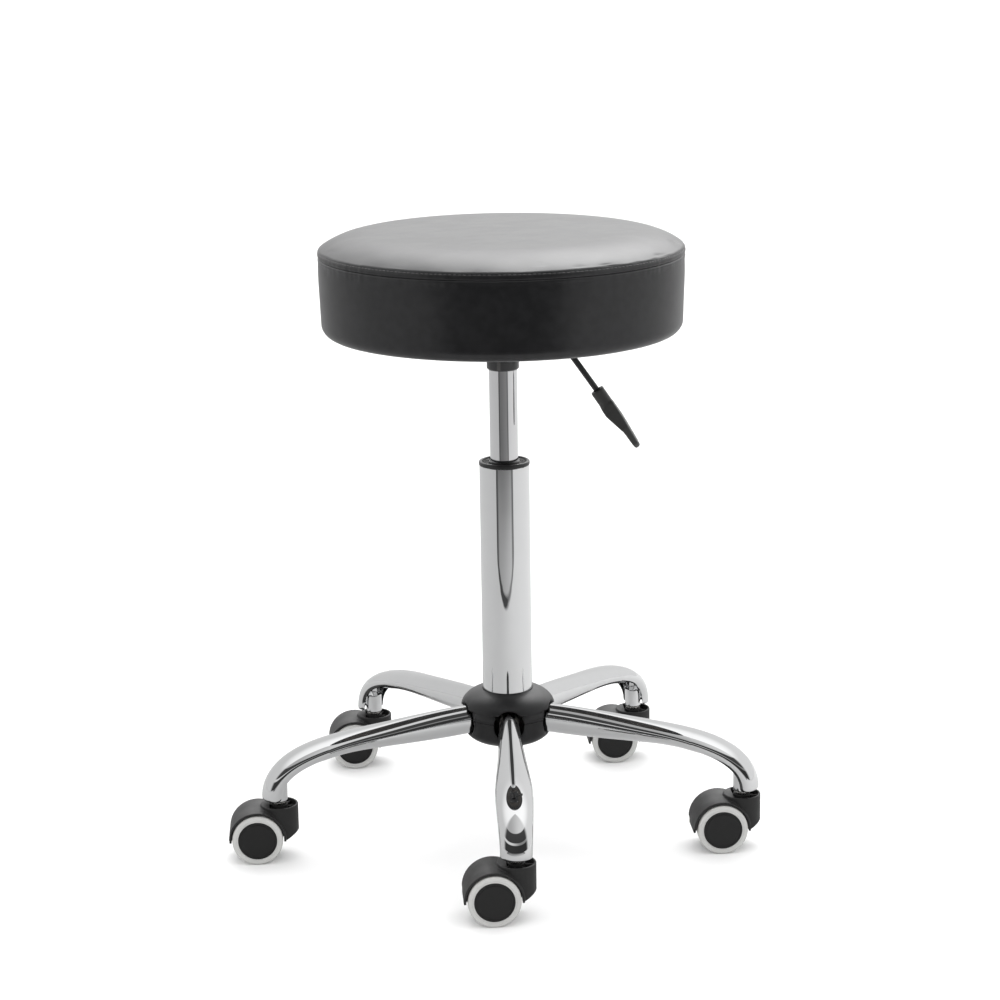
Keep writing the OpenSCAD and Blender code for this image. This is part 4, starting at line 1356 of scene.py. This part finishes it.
def studio_world():
    """White to the camera. Mirrors see a bright room with a dark front wall, and a light overhead.

    A ray from polished chrome is singular. It sees that light much weaker than a dull surface does."""
    world = bpy.data.worlds.new("studio")
    world.cycles.sampling_method = "NONE"  # so that even rough reflections see the mirrored room
    scene.world = world
    world.use_nodes = True
    graph = Graph(world.node_tree)
    x, y, z = graph.parts(graph.add("ShaderNodeTexCoord").outputs["Generated"])[:3]
    flat = graph.math("MAXIMUM", graph.length(x, y), 0.001)
    front = graph.math("DIVIDE", graph.product(y, -1.0), flat)
    slope = graph.math("DIVIDE", z, flat)
    ray = graph.add("ShaderNodeLightPath").outputs
    singular = ray["Is Singular Ray"]
    is_front = graph.blend(singular, graph.ramp(front, 0.45, 0.75), graph.ramp(front, 0.3, 0.6))
    foot_dim = graph.product(graph.ramp(slope, 0.5, 0.44), graph.ramp(x, -0.4, 0.4, 0.1, 0.7))
    wall = graph.blend(foot_dim, wall_bands(graph, slope), BLACK)
    top_dim = graph.product(singular, graph.ramp(slope, 1.05, 1.15), graph.ramp(x, -0.4, 0.4, 0.6, 0.3))
    wall = graph.blend(top_dim, wall, BLACK)
    side_dim = graph.ramp(singular, 0, 1, 1.0, 0.76, "LINEAR")
    sides = graph.product(graph.ramp(x, -0.6, 0.6, 0.80, 0.98), side_dim)
    height = graph.math("POWER", graph.math("MAXIMUM", z, 0.0), 1.9)
    soft = graph.product(8.6, height, graph.ramp(x, -0.4, 0.4, 0.55, 1.45), graph.ramp(front, -0.3, -0.9))
    overhead = graph.blend(singular, soft, graph.ramp(z, 0.6, 0.95, 0.0, 0.4))
    mirrored = graph.blend(is_front, graph.math("ADD", sides, overhead), wall)
    lit = graph.blend(ray["Is Glossy Ray"], LIGHT, mirrored)
    colour = world.node_tree.nodes["Background"].inputs["Color"]
    graph.feed(colour, graph.blend(ray["Is Camera Ray"], lit, WHITE))


def studio_floor():
    """White paper, clear from below. Mirrors see it end in front of the stool, with grey beyond."""
    bpy.ops.mesh.primitive_plane_add(size=60)
    floor = bpy.context.object
    floor.name = "floor"
    look = Look("paper", Roughness=0.6)
    spot = look.add("ShaderNodeNewGeometry").outputs
    x, y, _ = look.parts(spot["Position"])[:3]
    ray = look.add("ShaderNodeLightPath").outputs
    away = look.math("ABSOLUTE", y)
    aside = look.math("DIVIDE", x, away)
    apart = look.math("ABSOLUTE", aside)
    room = look.product(look.ramp(y, -0.91, -0.81, 1.0, 0.0), look.ramp(apart, 0.84, 0.62))
    border = look.product(room, look.math("SUBTRACT", 1.0, room), look.ramp(x, -0.2, 0.2, 8.0, 3.0))
    far = look.product(
        look.ramp(aside, -0.6, 0.6, 0.8, 1.3),
        look.ramp(y, -0.9, -1.7, 0.27, 0.12),
        look.ramp(apart, 0.5, 0.66, 1.0, 0.3),
        look.ramp(y, -4.0, -2.8, 0.2, 1.0),
    )
    far = look.blend(ray["Is Singular Ray"], BLACK, far)
    near = look.blend(look.ramp(x, -0.5, 0.5), (0.36, 0.36, 0.36), (0.47, 0.47, 0.47))
    mirrored = look.blend(border, look.blend(room, near, far), BLACK)
    seen = look.blend(ray["Is Glossy Ray"], PAPER, mirrored)
    look.set(Base_Color=seen, Specular_IOR_Level=0.1, Alpha=look.math("SUBTRACT", 1.0, spot["Backfacing"]))
    floor.data.materials.append(look.material)


def soft_light(name, at, size, power, target=(0, 0, 0.4)):
    """Large area light that points at the stool. Mirrors don't see it."""
    light = bpy.data.lights.new(name, "AREA")
    light.shape = "DISK"
    light.size = size
    light.energy = power
    lamp = bpy.data.objects.new(name, light)
    lamp.location = at
    lamp.rotation_euler = (Vector(target) - Vector(at)).to_track_quat("-Z", "Y").to_euler()
    lamp.visible_glossy = False
    scene.collection.objects.link(lamp)


def camera():
    """Long lens in front of the stool and a little above the seat, looking slightly down."""
    data = bpy.data.cameras.new("camera")
    data.lens = 90.09
    data.sensor_width = 36
    eye = bpy.data.objects.new("camera", data)
    place, pitch, roll = (-0.0048, -2.4211, 0.9413), math.radians(13.9), math.radians(-0.86)
    turn = Matrix.Rotation(TURN / 4 - pitch, 4, "X") @ Matrix.Rotation(roll, 4, "Z")
    eye.matrix_world = Matrix.Translation(place) @ turn
    scene.collection.objects.link(eye)
    scene.camera = eye


build_seat()
build_column()
build_hub()
build_arms()
build_casters()
build_lever()
finish_cad_nodes()
studio_world()
studio_floor()
soft_light("key", (-0.5, 1.3, 2.6), 2.4, 24)
soft_light("fill", (0.9, 0.3, 2.8), 2.4, 18)
camera()
scene.view_settings.view_transform = "Standard"
